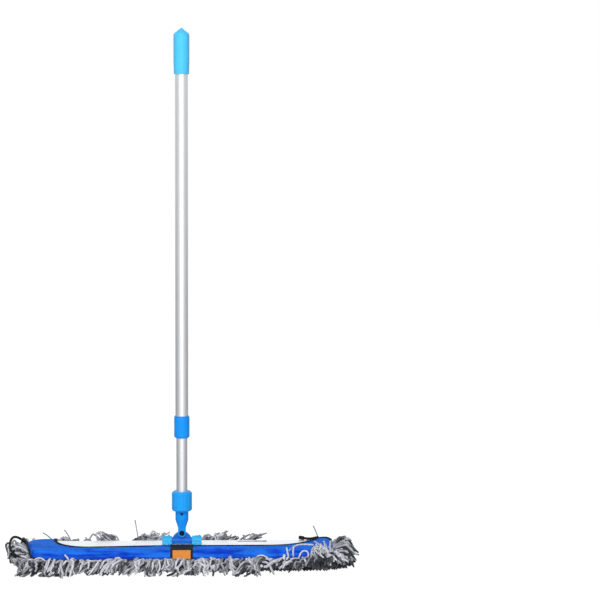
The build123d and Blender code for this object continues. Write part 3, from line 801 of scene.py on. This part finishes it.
# The radius of the outline's corners, at the left, -1, and at the right, 1.
CORNER = {-1: 14 * MM, 1: 26 * MM}
CORNER_STEPS = 10
PULLED_OUT = 0.19
TUCKED_IN = 14 * MM
ASKEW_START = -0.2
ASKEW_LENGTH = 0.08


def askew(place):
    """A point of the pad: the left end's back corner is pulled out by the loop, its front one drawn in."""
    near_end = min(1.0, max(0.0, (ASKEW_START - place.x) / ASKEW_LENGTH))
    shift = -PULLED_OUT * place.y if place.y > 0 else TUCKED_IN * (place.y / HALF_DEPTH) ** 2
    return place + Vector((shift * near_end, 0, 0))


def corner(sign_x, sign_y, inset, z):
    """A rounded corner of the outline, drawn in by an inset, counter-clockwise."""
    start = {(1, -1): -90, (1, 1): 0, (-1, 1): 90, (-1, -1): 180}[sign_x, sign_y]
    radius = CORNER[sign_x]
    centre = Vector((sign_x * (HALF_LENGTH - radius), sign_y * (HALF_DEPTH - radius), z))
    angles = [math.radians(start + 90 * i / CORNER_STEPS) for i in range(CORNER_STEPS + 1)]
    return [askew(centre + Vector((math.cos(a), math.sin(a), 0)) * (radius - inset)) for a in angles]


def outline(inset, z):
    """The whole outline, counter-clockwise from the front's right end."""
    return [place for signs in ((1, -1), (1, 1), (-1, 1), (-1, -1)) for place in corner(*signs, inset, z)]


print("outline of", len(outline(0, BINDING_Z)), "points")

# %% Fringe
ROOT_INSET = 6.5 * MM
ROOT_Z = 20.5 * MM


def turn_run(sign_x, sign_y):
    """The sewing line round one corner."""
    return corner(sign_x, sign_y, ROOT_INSET, ROOT_Z)


def end_point(sign, y):
    """A point of the sewing line on one of the pad's ends."""
    return Vector((sign * (HALF_LENGTH - ROOT_INSET), y, ROOT_Z))


def straight_run(sign, start, end):
    """The sewing line along the front, -1, or the back, 1, between two places along the head."""
    y = sign * (HALF_DEPTH - ROOT_INSET)
    return [Vector((x, y, ROOT_Z)) for x in sorted((start, end), reverse=sign > 0)]


def fringe(name, runs, replaced=(), **sizes):
    """One stretch of fringe."""
    piece(name, grown(yarn, carrier(runs), Material=yarn_grey, **sizes), replaced)


LEFT_END = CORNER[-1] - HALF_LENGTH
RIGHT_END = HALF_LENGTH - CORNER[1]
SIDE_FRONT = -0.012
SIDE_BACK = HALF_DEPTH - CORNER[1]
LIFT_START = 0.165
FRONT_SLANT = -14 * MM
# A Low_tone below 0 deepens the painted shade of the lower strands, at the front's right end and the pad's
# ends.
fringe("yarn_front", [straight_run(-1, LEFT_END - FRONT_SLANT, LIFT_START)], ["fringe_front"], Strands=304,
       Seed=11, Slant=FRONT_SLANT)
fringe("yarn_front_right", [straight_run(-1, LIFT_START, RIGHT_END)], Strands=66, Seed=12, Reach=0.042,
       Low_tip=-0.0115, High_tip=-0.004, Slant=FRONT_SLANT, Low_tone=-0.65, High_tone=1.3)
fringe("yarn_back", [straight_run(1, LEFT_END, RIGHT_END)], ["fringe_back"], Strands=340, Seed=23,
       High_bend=0.014)
fringe("yarn_left", [turn_run(-1, 1) + [end_point(-1, 0)]], ["fringe_left"], Strands=130, Reach=0.042,
       Seed=37, Bend=1.35, High_bend=0.044, High_tip=0.0, Low_tip=-0.015, Lean=0.022, Low_tone=-0.45,
       High_tone=0.9)
fringe("yarn_left_front", [[end_point(-1, 0)] + turn_run(-1, -1)], Strands=110, Reach=0.046, Seed=38,
       Bend=1.0, High_bend=0.024, Low_tip=-0.0065, High_tip=-0.001, Lean=0.022, Low_tone=-0.3)
fringe("yarn_right", [[end_point(1, SIDE_FRONT), end_point(1, SIDE_BACK)]], ["fringe_right"], Strands=160,
       Reach=0.066, Vary=0.3, Seed=44, Bend=0.4, High_bend=0.056, Low_tip=-0.015, High_tip=0.020, Lean=0.028,
       Low_tone=-0.45, High_tone=0.9)
fringe("yarn_right_back", [turn_run(1, 1)], Strands=90, Reach=0.050, Seed=43, High_bend=0.024, High_tip=0.004,
       Lean=0.02)
fringe("yarn_right_front", [turn_run(1, -1) + [end_point(1, SIDE_FRONT)]], Strands=140, Reach=0.042, Seed=52,
       High_bend=0.034, Low_tip=-0.0085, High_tip=0.010, Lean=0.024, Low_tone=-0.9, High_tone=1.1)

# %% [markdown]
# ## Tufts and strays
#
# Some yarns never lie flat. Behind the frame a few stand up in tufts, and at the right others have flipped
# over the binding onto the pocket. The tufts are the same tree on short stretches of the sewing line, with
# tips that rise, and the flipped ones are the tree on the binding's line drawn backwards, so that outward
# becomes inward. The strays are single yarns whose way over the cloth is drawn point by point, and
# rounded to a smooth line. The wisps that stand up are in the handle's way when it is laid down.

# %% Tufts
LOOSE_R = 1.9 * MM
TUFT_PITCH = 1.8 * MM
# Each row: start and end along the head, rise, share of loops, slant along the sewing line.
TUFTS = (
    (-0.231, -0.187, 0.025, 0.5, 0.0),
    (-0.170, -0.126, 0.032, 0.4, 0.0),
    (-0.106, -0.041, 0.035, 0.25, -0.008),
    (0.018, 0.138, 0.033, 0.1, -0.020),
)

for number, (start, end, rise, loops, slant) in enumerate(TUFTS):
    fringe(f"yarn_tuft_{number}", [straight_run(1, start, end)], Strands=round((end - start) / TUFT_PITCH),
           Reach=0.038, Vary=0.35, Seed=61 + number, Low_bend=rise * 0.6, High_bend=rise * 0.9,
           Low_tip=rise * 0.72, High_tip=rise, Lean=0.034, Slant=slant, Clump=0.02, Curl=0.006, Loops=loops,
           Loop_width=0.045, Radius=LOOSE_R, Low_tone=0.15, High_tone=0.75)

# %% Flipped yarns
FLIP_START = 0.266
FLIP_INSET = -3.5 * MM
FLIP_Z = BINDING_Z + MM
flip_run = [Vector((FLIP_START, -HALF_DEPTH + FLIP_INSET, FLIP_Z))] + corner(1, -1, FLIP_INSET, FLIP_Z)
fringe("yarn_flipped", [flip_run[::-1]], Strands=20, Reach=0.026, Vary=0.3, Seed=71, Bend=0.35,
       Low_bend=0.014, High_bend=0.024, Low_tip=0.018, High_tip=0.024, Lean=0.022, Loops=0.25, Radius=LOOSE_R,
       Low_tone=0.5)

# %% Strays
STRAYS = (
    ((-0.297, -0.060, 0.020), (-0.290, -0.058, 0.033), (-0.272, -0.058, 0.034), (-0.263, -0.064, 0.020)),
    ((-0.219, -0.062, 0.022), (-0.224, -0.055, 0.033), (-0.231, -0.050, 0.0375)),
    ((-0.137, -0.063, 0.020), (-0.131, -0.056, 0.033), (-0.120, -0.056, 0.033), (-0.114, -0.064, 0.020)),
    ((0.140, -0.063, 0.020), (0.147, -0.054, 0.035), (0.168, -0.053, 0.036), (0.181, -0.063, 0.020)),
    ((0.213, -0.060, 0.027), (0.211, -0.049, 0.039), (0.209, -0.040, 0.0475)),
    ((0.222, -0.057, 0.033), (0.221, -0.044, 0.0435), (0.224, -0.032, 0.0485)),
    ((0.232, -0.060, 0.028), (0.236, -0.046, 0.041), (0.250, -0.044, 0.043), (0.254, -0.055, 0.033),
     (0.244, -0.060, 0.029)),
    ((0.214, -0.044, 0.043), (0.226, -0.022, 0.0485), (0.246, -0.012, 0.0487), (0.264, -0.020, 0.0485)),
    ((0.288, -0.052, 0.034), (0.283, -0.040, 0.0475), (0.274, -0.015, 0.0485), (0.268, 0.012, 0.0485)),
    ((0.292, -0.050, 0.035), (0.289, -0.038, 0.048), (0.287, -0.012, 0.0485), (0.286, 0.012, 0.0485)),
    ((0.297, -0.046, 0.036), (0.296, -0.034, 0.0485), (0.298, -0.012, 0.0488), (0.299, 0.008, 0.0488)),
)
WISPS = (
    ((-0.090, 0.070, 0.040), (-0.093, 0.078, 0.060), (-0.097, 0.080, 0.080)),
    ((-0.262, 0.066, 0.040), (-0.272, 0.070, 0.050), (-0.284, 0.072, 0.056)),
    ((-0.227, 0.068, 0.040), (-0.233, 0.074, 0.053), (-0.241, 0.078, 0.060)),
    ((0.279, 0.066, 0.040), (0.274, 0.072, 0.056), (0.268, 0.076, 0.067)),
)
WISP_R = 1.2 * MM


def make_strays(name, routes, radius, tone_and_shade):
    """Single yarns along given routes."""
    lines = [smooth_line(route) for route in routes]
    mesh = grown(braid, carrier(lines), Radius=radius, Sides=6, Step=2.5 * MM, Tone=tone_and_shade, Material=yarn_grey)
    return piece(name, mesh)


make_strays("yarn_strays", STRAYS, LOOSE_R, tone_and_shade=0.95)
wisps = make_strays("yarn_wisps", WISPS, WISP_R, tone_and_shade=0.5)
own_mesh(wisps)

# %% [markdown]
# ## The nylon pocket
#
# The pocket is blue nylon, sewn to the pad all round, drawn over the frame and left open behind. In Blender
# it is a loft: three lines, along the binding, along the frame's shoulder and along the mouth, and rows of
# points between them. A cloth simulation would drape it too, but a taut cover hardly moves, and this way the
# creases can be put where sewing causes them: noise swells the rows a little everywhere, and more beside a
# seam.

# %% Line of the mouth
MOUTH_R = 2 * MM
MOUTH_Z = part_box("opening_piping")[1].z - MOUTH_R
MOUTH_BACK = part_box("opening_piping")[1].y - MOUTH_R
MOUTH_LEFT = -255 * MM
MOUTH_RIGHT = 277 * MM
MOUTH_CORNER = 245 * MM
MOUTH_FRONT = -13 * MM
MOUTH_SAG = (-60 * MM, -27 * MM)
MOUTH_ROUNDS = (70 * MM, 900 * MM, 108 * MM)
ROUND_STEPS = 16


def rounded(route, radii):
    """A line through a route's points with its inner corners rounded by arcs."""
    line = [route[0]]
    for before, here, after, radius in zip(route, route[1:], route[2:], radii):
        into = (here - before).normalized()
        out = (after - here).normalized()
        turn = into.angle(out)
        inward = (out - into * into.dot(out)).normalized()
        centre = here - into * radius * math.tan(turn / 2) + inward * radius
        for step in range(ROUND_STEPS + 1):
            angle = turn * step / ROUND_STEPS
            line.append(centre + (into * math.sin(angle) - inward * math.cos(angle)) * radius)
    return line + [route[-1]]


mouth_route = [Vector((x, y, MOUTH_Z)) for x, y in (
    (MOUTH_LEFT, MOUTH_BACK), (MOUTH_LEFT, MOUTH_SAG[1]), (MOUTH_SAG[0], MOUTH_FRONT),
    (MOUTH_CORNER, MOUTH_FRONT), (MOUTH_RIGHT, MOUTH_BACK))]
mouth = rounded(mouth_route, MOUTH_ROUNDS)
print("mouth of", len(mouth), "points")

# %% Lines of the pocket
POCKET_LOW = 28.4 * MM
POCKET_HIGH = 45.4 * MM
LOW_HALF = 303.4 * MM
LOW_DEPTH = 54.9 * MM
SHOULDER_HALF = 302.2 * MM
SHOULDER_FRONT = -37.2 * MM
SHOULDER_BACK = 54.5 * MM
SHOULDER_CORNER = {-1: 14 * MM, 1: 14 * MM}
# Steps of the straight stretches, from the mouth's left end round the front, and of each corner.
RIM_STATIONS = (5, 16, 200, 16, 3)
CORNER_STATIONS = 9


def stations(start, end, count):
    """Points from start to end, in equal steps."""
    return [start.lerp(end, step / count) for step in range(count + 1)]


def rim_line(half, front, back, radii, z):
    """A rounded outline from the mouth's left end, counter-clockwise round the front to its right end."""
    turns = ((-1, back, -1), (-1, front, 1), (1, front, 1), (1, back, -1))
    line = [Vector((MOUTH_LEFT, back, z))]
    for quarter, (side, y, inward) in enumerate(turns):
        radius = radii[side]
        centre = Vector((side * (half - radius), y + inward * radius, z))
        shares = [step / CORNER_STATIONS for step in range(CORNER_STATIONS + 1)]
        angles = [math.pi / 2 * (quarter + 1 + share) for share in shares]
        bend = [askew(centre + Vector((math.cos(a), math.sin(a), 0)) * radius) for a in angles]
        line += stations(line[-1], bend[0], RIM_STATIONS[quarter])[1:-1] + bend
    return line + stations(line[-1], Vector((MOUTH_RIGHT, back, z)), RIM_STATIONS[-1])[1:]


low_rim = rim_line(LOW_HALF, -LOW_DEPTH, LOW_DEPTH, CORNER, POCKET_LOW)
shoulder_rim = rim_line(SHOULDER_HALF, SHOULDER_FRONT, SHOULDER_BACK, SHOULDER_CORNER, POCKET_HIGH)
print("pocket lines of", len(low_rim), "stations")

# %% [markdown]
# ## Rows of the cloth
#
# At each station a row climbs from the binding over the shoulder to the mouth. The shoulder is rounded by a
# Bezier curve, because cloth never folds sharply over a frame. The mouth's stations are paired with the rim's
# in a given list, so that the rows fan out round the corners and never cross. Then each point is pushed out a
# little, for the creases.

# %% Rows
# Distances along the mouth, in mm, that belong to the ends of the rim's straight stretches and corners.
MOUTH_PAIRS = (0, 8, 16, 52, 85, 535, 567, 601, 609)
SHOULDER_CUT = 7 * MM
LARGEST_CUT = 0.45
SLOPE_ROWS = 8
BEND_ROWS = 4
TOP_ROWS = 11


def lengths(line):
    """How far each point of a line is from its start, along it."""
    far = [0.0]
    for before, here in zip(line, line[1:]):
        far.append(far[-1] + (here - before).length)
    return far


def at(line, far, distance):
    """The point of a line at a distance along it."""
    i = max(1, next((i for i, reached in enumerate(far) if reached >= distance), len(far) - 1))
    share = (distance - far[i - 1]) / (far[i] - far[i - 1])
    return line[i - 1].lerp(line[i], share)


def section(low, shoulder, top):
    """Points up the cloth at one station: the slope, the rounded shoulder and the top."""
    slope = low - shoulder
    flat = top - shoulder
    cut = min(SHOULDER_CUT, slope.length * LARGEST_CUT, flat.length * LARGEST_CUT)
    start = shoulder + slope.normalized() * cut
    end = shoulder + flat.normalized() * cut
    shares = [step / BEND_ROWS for step in range(1, BEND_ROWS)]
    bend = [start.lerp(shoulder, share).lerp(shoulder.lerp(end, share), share) for share in shares]
    return stations(low, start, SLOPE_ROWS) + bend + stations(end, top, TOP_ROWS)


def mouth_stations():
    """Points of the mouth that belong to the rim's stations."""
    far = lengths(mouth)
    keys = [key * MM for key in MOUTH_PAIRS] + [far[-1]]
    steps = [count for straight in RIM_STATIONS for count in (straight, CORNER_STATIONS)][:-1]
    distances = [0.0]
    for before, after, count in zip(keys, keys[1:], steps):
        distances += [before + (after - before) * step / count for step in range(1, count + 1)]
    return [at(mouth, far, distance) for distance in distances]


smooth_rows = [section(*station) for station in zip(low_rim, shoulder_rim, mouth_stations())]
print("cloth of", len(smooth_rows), "rows with", len(smooth_rows[0]), "points")

# %% Creases
LABEL_HALF = 22.8 * MM
LABEL_MARGIN = 2 * MM
LABEL_FADE = 18 * MM
BINDING_PUCKER = 8 * MM
MOUTH_PUCKER = 9 * MM
BINDING_HOLD = 4 * MM
MOUTH_HOLD = 5 * MM


def crease(place, from_binding, from_mouth):
    """How far the cloth stands off its smooth form: not at all at a seam or under the label."""
    x, y, z = place
    broad = noise.noise(Vector((x * 24 + y * 20, y * 26, z * 18)))
    fold = abs(noise.noise(Vector((x * 55 - y * 45, y * 12, z * 22 + 7))))
    pulled = noise.noise(Vector((x * 11 + from_binding * 20, from_binding * 95, 3.0)))
    gather = noise.noise(Vector((x * 210, y * 170, z * 20 + 3)))
    seam = math.exp(-from_binding / BINDING_PUCKER) + 0.7 * math.exp(-from_mouth / MOUTH_PUCKER)
    beside_label = min(1.0, max(0.0, (abs(x) - LABEL_HALF - LABEL_MARGIN) / LABEL_FADE))
    inside = min(1.0, from_binding / BINDING_HOLD, from_mouth / MOUTH_HOLD)
    height = max(0.0, 1.2 + 1.4 * broad - 1.4 * fold + 2.0 * pulled + 0.7 * gather * seam)
    return height * MM * inside * beside_label


def normals(grid):
    """Outward normals of a grid of points, from its neighbours."""
    last = len(grid) - 1
    top = len(grid[0]) - 1

    def normal(i, j):
        """The normal at one point."""
        along = grid[min(i + 1, last)][j] - grid[max(i - 1, 0)][j]
        upward = grid[i][min(j + 1, top)] - grid[i][max(j - 1, 0)]
        return along.cross(upward).normalized()

    return [[normal(i, j) for j in range(top + 1)] for i in range(last + 1)]


pocket_grid = []
for row, ways in zip(smooth_rows, normals(smooth_rows)):
    up = lengths(row)
    pocket_grid.append([place + way * crease(place, v, up[-1] - v) for place, way, v in zip(row, ways, up)])

# %% Cloth of a thickness
def cloth_mesh(grid, finish, thickness):
    """A grid of points as cloth of a thickness, with UVs in metres along and up it."""
    rows = len(grid[0])
    quads = [(i * rows + j, (i + 1) * rows + j, (i + 1) * rows + j + 1, i * rows + j + 1)
             for i in range(len(grid) - 1) for j in range(rows - 1)]
    mesh = bpy.data.meshes.new("cloth")
    mesh.from_pydata([place for column in grid for place in column], [], quads)
    along = lengths([column[rows // 2] for column in grid])
    places = [(u, v) for u, column in zip(along, grid) for v in lengths(column)]
    layer = mesh.uv_layers.new(name="cloth")
    for loop in mesh.loops:
        layer.data[loop.index].uv = places[loop.vertex_index]
    mesh.materials.append(finish)
    holder = placed("cloth", mesh)
    solid = holder.modifiers.new("thickness", "SOLIDIFY")
    solid.thickness = thickness
    solid.offset = -1.0
    smooth = holder.modifiers.new("smooth", "SUBSURF")
    smooth.levels = 1
    smooth.render_levels = 1
    result = plain_mesh(holder)
    result.shade_smooth()
    return result


def plain_weave(f, across, along, pitch):
    """Threads that pass over and under each other, from 0 to 1."""
    turn = 2 * math.pi / pitch
    return f.maths("SINE", across * turn) * f.maths("SINE", along * turn) * 0.5 + 0.5


print("cloth from a grid, and a plain weave")

# %% Nylon pocket
NYLON = 0.9 * MM
NYLON_THREAD = 0.9 * MM
ALONG_POCKET = (14.0, 55.0, 120.0)
FLAT_NORMAL = (0.8, 0.98)
TOP_PAINTED_LIGHT = 0.6
SEAM_PAINTED_SHADE = (9 * MM, 1 * MM)


def nylon_finish():
    """Royal blue nylon, a fine plain weave with a soft sheen; crease streaks, top light and seam shade are
    painted.
    """
    f = Finish("blue nylon", Specular_IOR_Level=0.05, Sheen_Weight=0.6, Sheen_Roughness=0.4,
               Sheen_Tint=paint(70, 150, 255))
    u, v = f.split(f.node("ShaderNodeTexCoord", out="UV"))[:2]
    weave = plain_weave(f, u, v, NYLON_THREAD)
    cloud = f.noise(f.place(), 30.0, 4.0)
    # Painted light and shade: streaks along the pocket stand for its creases, mixed with its cloudy tone.
    painted_creases = f.noise(f.place(ALONG_POCKET), 1.0, 3.0)
    colour = f.mix(f.span(cloud * 0.35 + painted_creases * 0.65, 0.38, 0.62), paint(6, 60, 198), paint(38, 124, 247))
    # Painted light: where the cloth faces up it is lighter, as if lit from above.
    facing_up = f.split(f.node("ShaderNodeNewGeometry", out="Normal"))[2]
    colour = f.mix(f.span(facing_up, *FLAT_NORMAL) * TOP_PAINTED_LIGHT, colour, paint(46, 132, 255))
    # Painted shade: the cloth darkens towards its lower seam at the binding; the weave's dark threads share
    # the mask.
    dark = f.maths("MAXIMUM", weave * 0.3, f.span(v, *SEAM_PAINTED_SHADE) * 0.85)
    return f.set(Base_Color=f.mix(dark, colour, paint(8, 46, 158)),
                 Roughness=0.5 + weave * 0.12 + cloud * 0.1,
                 Normal=f.bump(weave, 0.00006))


pocket = piece("pocket_cloth", cloth_mesh(pocket_grid, nylon_finish(), NYLON),
               ["pocket_cover"])

# %% [markdown]
# ## Bindings and stitches
#
# The pad's edge and the pocket's mouth are both bound with black tape folded round a cord, so each is the
# braid tree again on another line. Beside them run the stitches: a thread that shows as short dashes. Their
# tree walks the line in even steps and puts one small capsule on each, turned by the line's direction and by
# the cloth's normal.

# %% Bindings
BINDING_STEP = 4 * MM
TURN_DOWN = 5 * MM
# The tapes at the pocket's corners: behind at the right, across the left end, and under the loop.
TAPE_ROUTES = (
    ((MOUTH_RIGHT, MOUTH_BACK, MOUTH_Z), (0.288, 0.0555, 0.0472), (0.298, 0.0535, 0.0470),
     (0.3035, 0.0470, 0.0440)),
    ((-0.3145, 0.0470, 0.0435), (-0.3130, 0.0300, 0.0415), (-0.3055, 0.0000, 0.0385),
     (-0.3020, -0.0300, 0.0340), (-0.2920, -0.0500, 0.0300), (-0.2850, -0.0560, 0.0285),
     (-0.3015, -0.0560, 0.0280)),
    ((-0.3390, -0.0320, 0.0365), (-0.3280, -0.0480, 0.0320), (-0.3140, -0.0565, 0.0280),
     (-0.2970, -0.0580, 0.0270)),
)
BESIDE_MOUTH = Vector((-3 * MM, -2 * MM, 0.3 * MM))
BESIDE_POINTS = 13


def bind(name, runs, replaced=(), closed=False, **sizes):
    """Black binding tape along lines."""
    mesh = grown(braid, carrier(runs, closed), Material=binding_black, **sizes)
    piece(name, mesh, replaced)


left_foot, right_foot = (Vector((x, MOUTH_BACK, POCKET_LOW)) for x in (MOUTH_LEFT, MOUTH_RIGHT))
mouth_tape = rounded([left_foot, *mouth_route, right_foot], (TURN_DOWN, *MOUTH_ROUNDS, TURN_DOWN))
corner_tapes = [smooth_line(route) for route in TAPE_ROUTES]
corner_tapes.append([place + BESIDE_MOUTH for place in mouth[:BESIDE_POINTS]])
bind("edge_binding", [outline(0, BINDING_Z)], ["edge_piping"], closed=True, Radius=BINDING_R,
     Step=BINDING_STEP)
bind("mouth_binding", [mouth_tape], ["opening_piping"], Radius=MOUTH_R, Step=BINDING_STEP)
bind("corner_binding", corner_tapes, Radius=MOUTH_R)

# %% Stitches
def stitch_grower():
    """Puts a capsule on every step of the carrier, along its direction and flat on its up."""
    g = Grower("stitches", Step=0.0032, Length=0.002, Thread=0.0003, Material=None)
    line = g.node("GeometryNodeMeshToCurve", None, {"Mesh": g.Geometry})
    steps = g.node("GeometryNodeCurveToPoints", {"mode": "LENGTH"}, {"Curve": line, "Length": g.Step})
    turn = g.node("FunctionNodeAxesToRotation", {"primary_axis": "X", "secondary_axis": "Z"},
                  {"Primary Axis": steps.out("Tangent"), "Secondary Axis": g.kept("up")})
    ball = g.node("GeometryNodeMeshUVSphere", None, {"Segments": 6, "Rings": 4, "Radius": 1.0})
    size = g.node("ShaderNodeCombineXYZ", None, {"X": g.Length / 2, "Y": g.Thread, "Z": g.Thread})
    sockets = {"Points": steps, "Instance": ball, "Rotation": turn, "Scale": size}
    return g.end(g.node("GeometryNodeInstanceOnPoints", None, sockets))


SEAM_INSET = 5 * MM


def seam(step):
    """Points and normals of the pocket's cloth beside its binding, step 1, or beside its mouth, step -1."""
    columns = [column[::step] for column in pocket_grid]
    line = [at(column, lengths(column), SEAM_INSET) for column in columns]
    return line, [ways[2 * step] for ways in normals(pocket_grid)]


def make_stitches():
    """Dark thread beside the edge binding and beside the mouth's."""
    thread = braid_finish("navy thread", paint(24, 34, 92), paint(10, 14, 44), 9000.0)
    lines, ups = zip(*(seam(step) for step in (1, -1)))
    seams = carrier(lines, ups=[up for row in ups for up in row])
    piece("pocket_stitches", grown(stitch_grower(), seams, Material=thread))


make_stitches()

# %% [markdown]
# ## The label
#
# A woven label is sewn round the pocket's front. It lies on the cloth, so it is made from the cloth's own
# section at the middle, lifted just clear of it. Its field and its border are masks on the UVs, which are in
# metres: no picture is needed, and the field is left bare.

# %% Label
LABEL_LIFT = 0.75 * MM
LABEL_THICK = 0.5 * MM
LABEL_TOP = POCKET_HIGH + 0.3 * MM
LABEL_FOLD = 3.0 * MM
LABEL_FOLD_ANGLES = (2.4, 1.8, 1.2, 0.75)
LABEL_STEPS = 12
LABEL_FIELD = (1.0 * MM, 22.0 * MM)
LABEL_BORDER = 5.0 * MM
LABEL_RIB = 0.7 * MM
FIELD_EDGE = 0.3 * MM


def label_finish():
    """Black satin ribbon with an orange field on its lower part."""
    f = Finish("woven label", Specular_IOR_Level=0.12)
    u, v = f.split(f.node("ShaderNodeTexCoord", out="UV"))[:2]
    from_side = LABEL_HALF - f.maths("ABSOLUTE", u - LABEL_HALF)
    across = f.span(from_side, LABEL_BORDER - FIELD_EDGE, LABEL_BORDER + FIELD_EDGE)
    start, end = LABEL_FIELD
    up = f.span(v, start - FIELD_EDGE, start + FIELD_EDGE) * f.span(v, end + FIELD_EDGE, end - FIELD_EDGE)
    rib = f.maths("SINE", v * (2 * math.pi / LABEL_RIB)) * 0.5 + 0.5
    fuzz = f.noise(f.place(), 600.0, 3.0)
    black = f.mix(rib * 0.6 + fuzz * 0.4, paint(14, 18, 24), paint(38, 46, 58))
    orange = f.mix(rib * 0.5 + fuzz * 0.5, paint(206, 118, 42), paint(240, 160, 78))
    return f.set(Base_Color=f.mix(across * up, black, orange),
                 Roughness=0.55 + fuzz * 0.25,
                 Normal=f.bump(rib, 0.00005))


def make_label():
    """The label's strip over the slope, the shoulder and the top, folded over the mouth's binding."""
    front = Vector((0, -LOW_DEPTH, POCKET_LOW))
    shoulder = Vector((0, SHOULDER_FRONT, POCKET_HIGH))
    top = Vector((0, MOUTH_FRONT - MOUTH_R, LABEL_TOP))
    # The black fold stands a little proud of the binding: partly the label's wrap, partly a dark sheet for
    # the shade under the swivel.
    over = [Vector((0, MOUTH_FRONT + LABEL_FOLD * math.cos(a), MOUTH_Z + LABEL_FOLD * math.sin(a)))
            for a in LABEL_FOLD_ANGLES]
    profile = section(front, shoulder, top) + over
    shifts = [LABEL_HALF * (2 * step / LABEL_STEPS - 1) for step in range(LABEL_STEPS + 1)]
    columns = [[place + Vector((x, 0, 0)) for place in profile] for x in shifts]
    grid = [[place + way * LABEL_LIFT for place, way in zip(column, ways)]
            for column, ways in zip(columns, normals(columns))]
    made = piece("label_cloth", cloth_mesh(grid, label_finish(), LABEL_THICK), ["woven_label"])
    print("label", [round(size * 1000) for size in made.dimensions], "mm")


make_label()

# %% [markdown]
# ## Canvas and pile
#
# Under the pocket lies a canvas base, and under that the pile: rows of yarn loops that do the dusting. They
# show only from below and between the fringe. The canvas is the pad's outline drawn in and given a thickness,
# and the pile is the yarn tree again, with every strand a loop that hangs from a sewn row.

# %% Canvas base
CANVAS_THREAD = 1.6 * MM


def canvas_finish():
    """Grey canvas in a coarse plain weave."""
    f = Finish("grey canvas", Specular_IOR_Level=0.2)
    x, y = f.split(f.place())[:2]
    weave = plain_weave(f, x, y, CANVAS_THREAD)
    fuzz = f.noise(f.place(), 500.0, 3.0)
    return f.set(Base_Color=f.mix(weave * 0.6 + fuzz * 0.4, paint(120, 120, 126), paint(178, 178, 182)),
                 Roughness=0.85 + fuzz * 0.1,
                 Normal=f.bump(weave, 0.0002))


def make_canvas():
    """The base: the outline drawn in a little, at the CAD's lower and upper height, closed all round."""
    low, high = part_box("pad_backing")
    inset = HALF_LENGTH - high.x
    rings = outline(inset, low.z) + outline(inset, high.z)
    count = len(rings) // 2
    following = [(i + 1) % count for i in range(count)]
    sides = [(i, j, j + count, i + count) for i, j in enumerate(following)]
    below = tuple(reversed(range(count)))
    above = tuple(range(count, 2 * count))
    mesh = bpy.data.meshes.new("canvas")
    mesh.from_pydata(rings, [], [below, above, *sides])
    mesh.materials.append(canvas_finish())
    piece("canvas_base", mesh, ["pad_backing"])


make_canvas()

# %% Pile
PILE_ROWS = 13
PILE_LOOPS = 88
PILE_EDGE = 4 * MM


def make_pile():
    """Rows of yarn loops under the canvas."""
    low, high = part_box("yarn_pile")
    rows = []
    for row in range(PILE_ROWS):
        y = low.y + PILE_EDGE + (high.y - low.y - 2 * PILE_EDGE) * row / (PILE_ROWS - 1)
        rows.append([Vector((x, y, high.z)) for x in (low.x + PILE_EDGE, high.x - PILE_EDGE)])
    fringe("pile_loops", rows, ["yarn_pile"], Strands=PILE_LOOPS, Reach=0.004, Low_tip=-0.0214,
           High_tip=-0.0206, Loops=1.1, Loop_width=0.009, Wave=0.0, Lean=0.003, Curl=0.002, Joints=9, Seed=53)


make_pile()
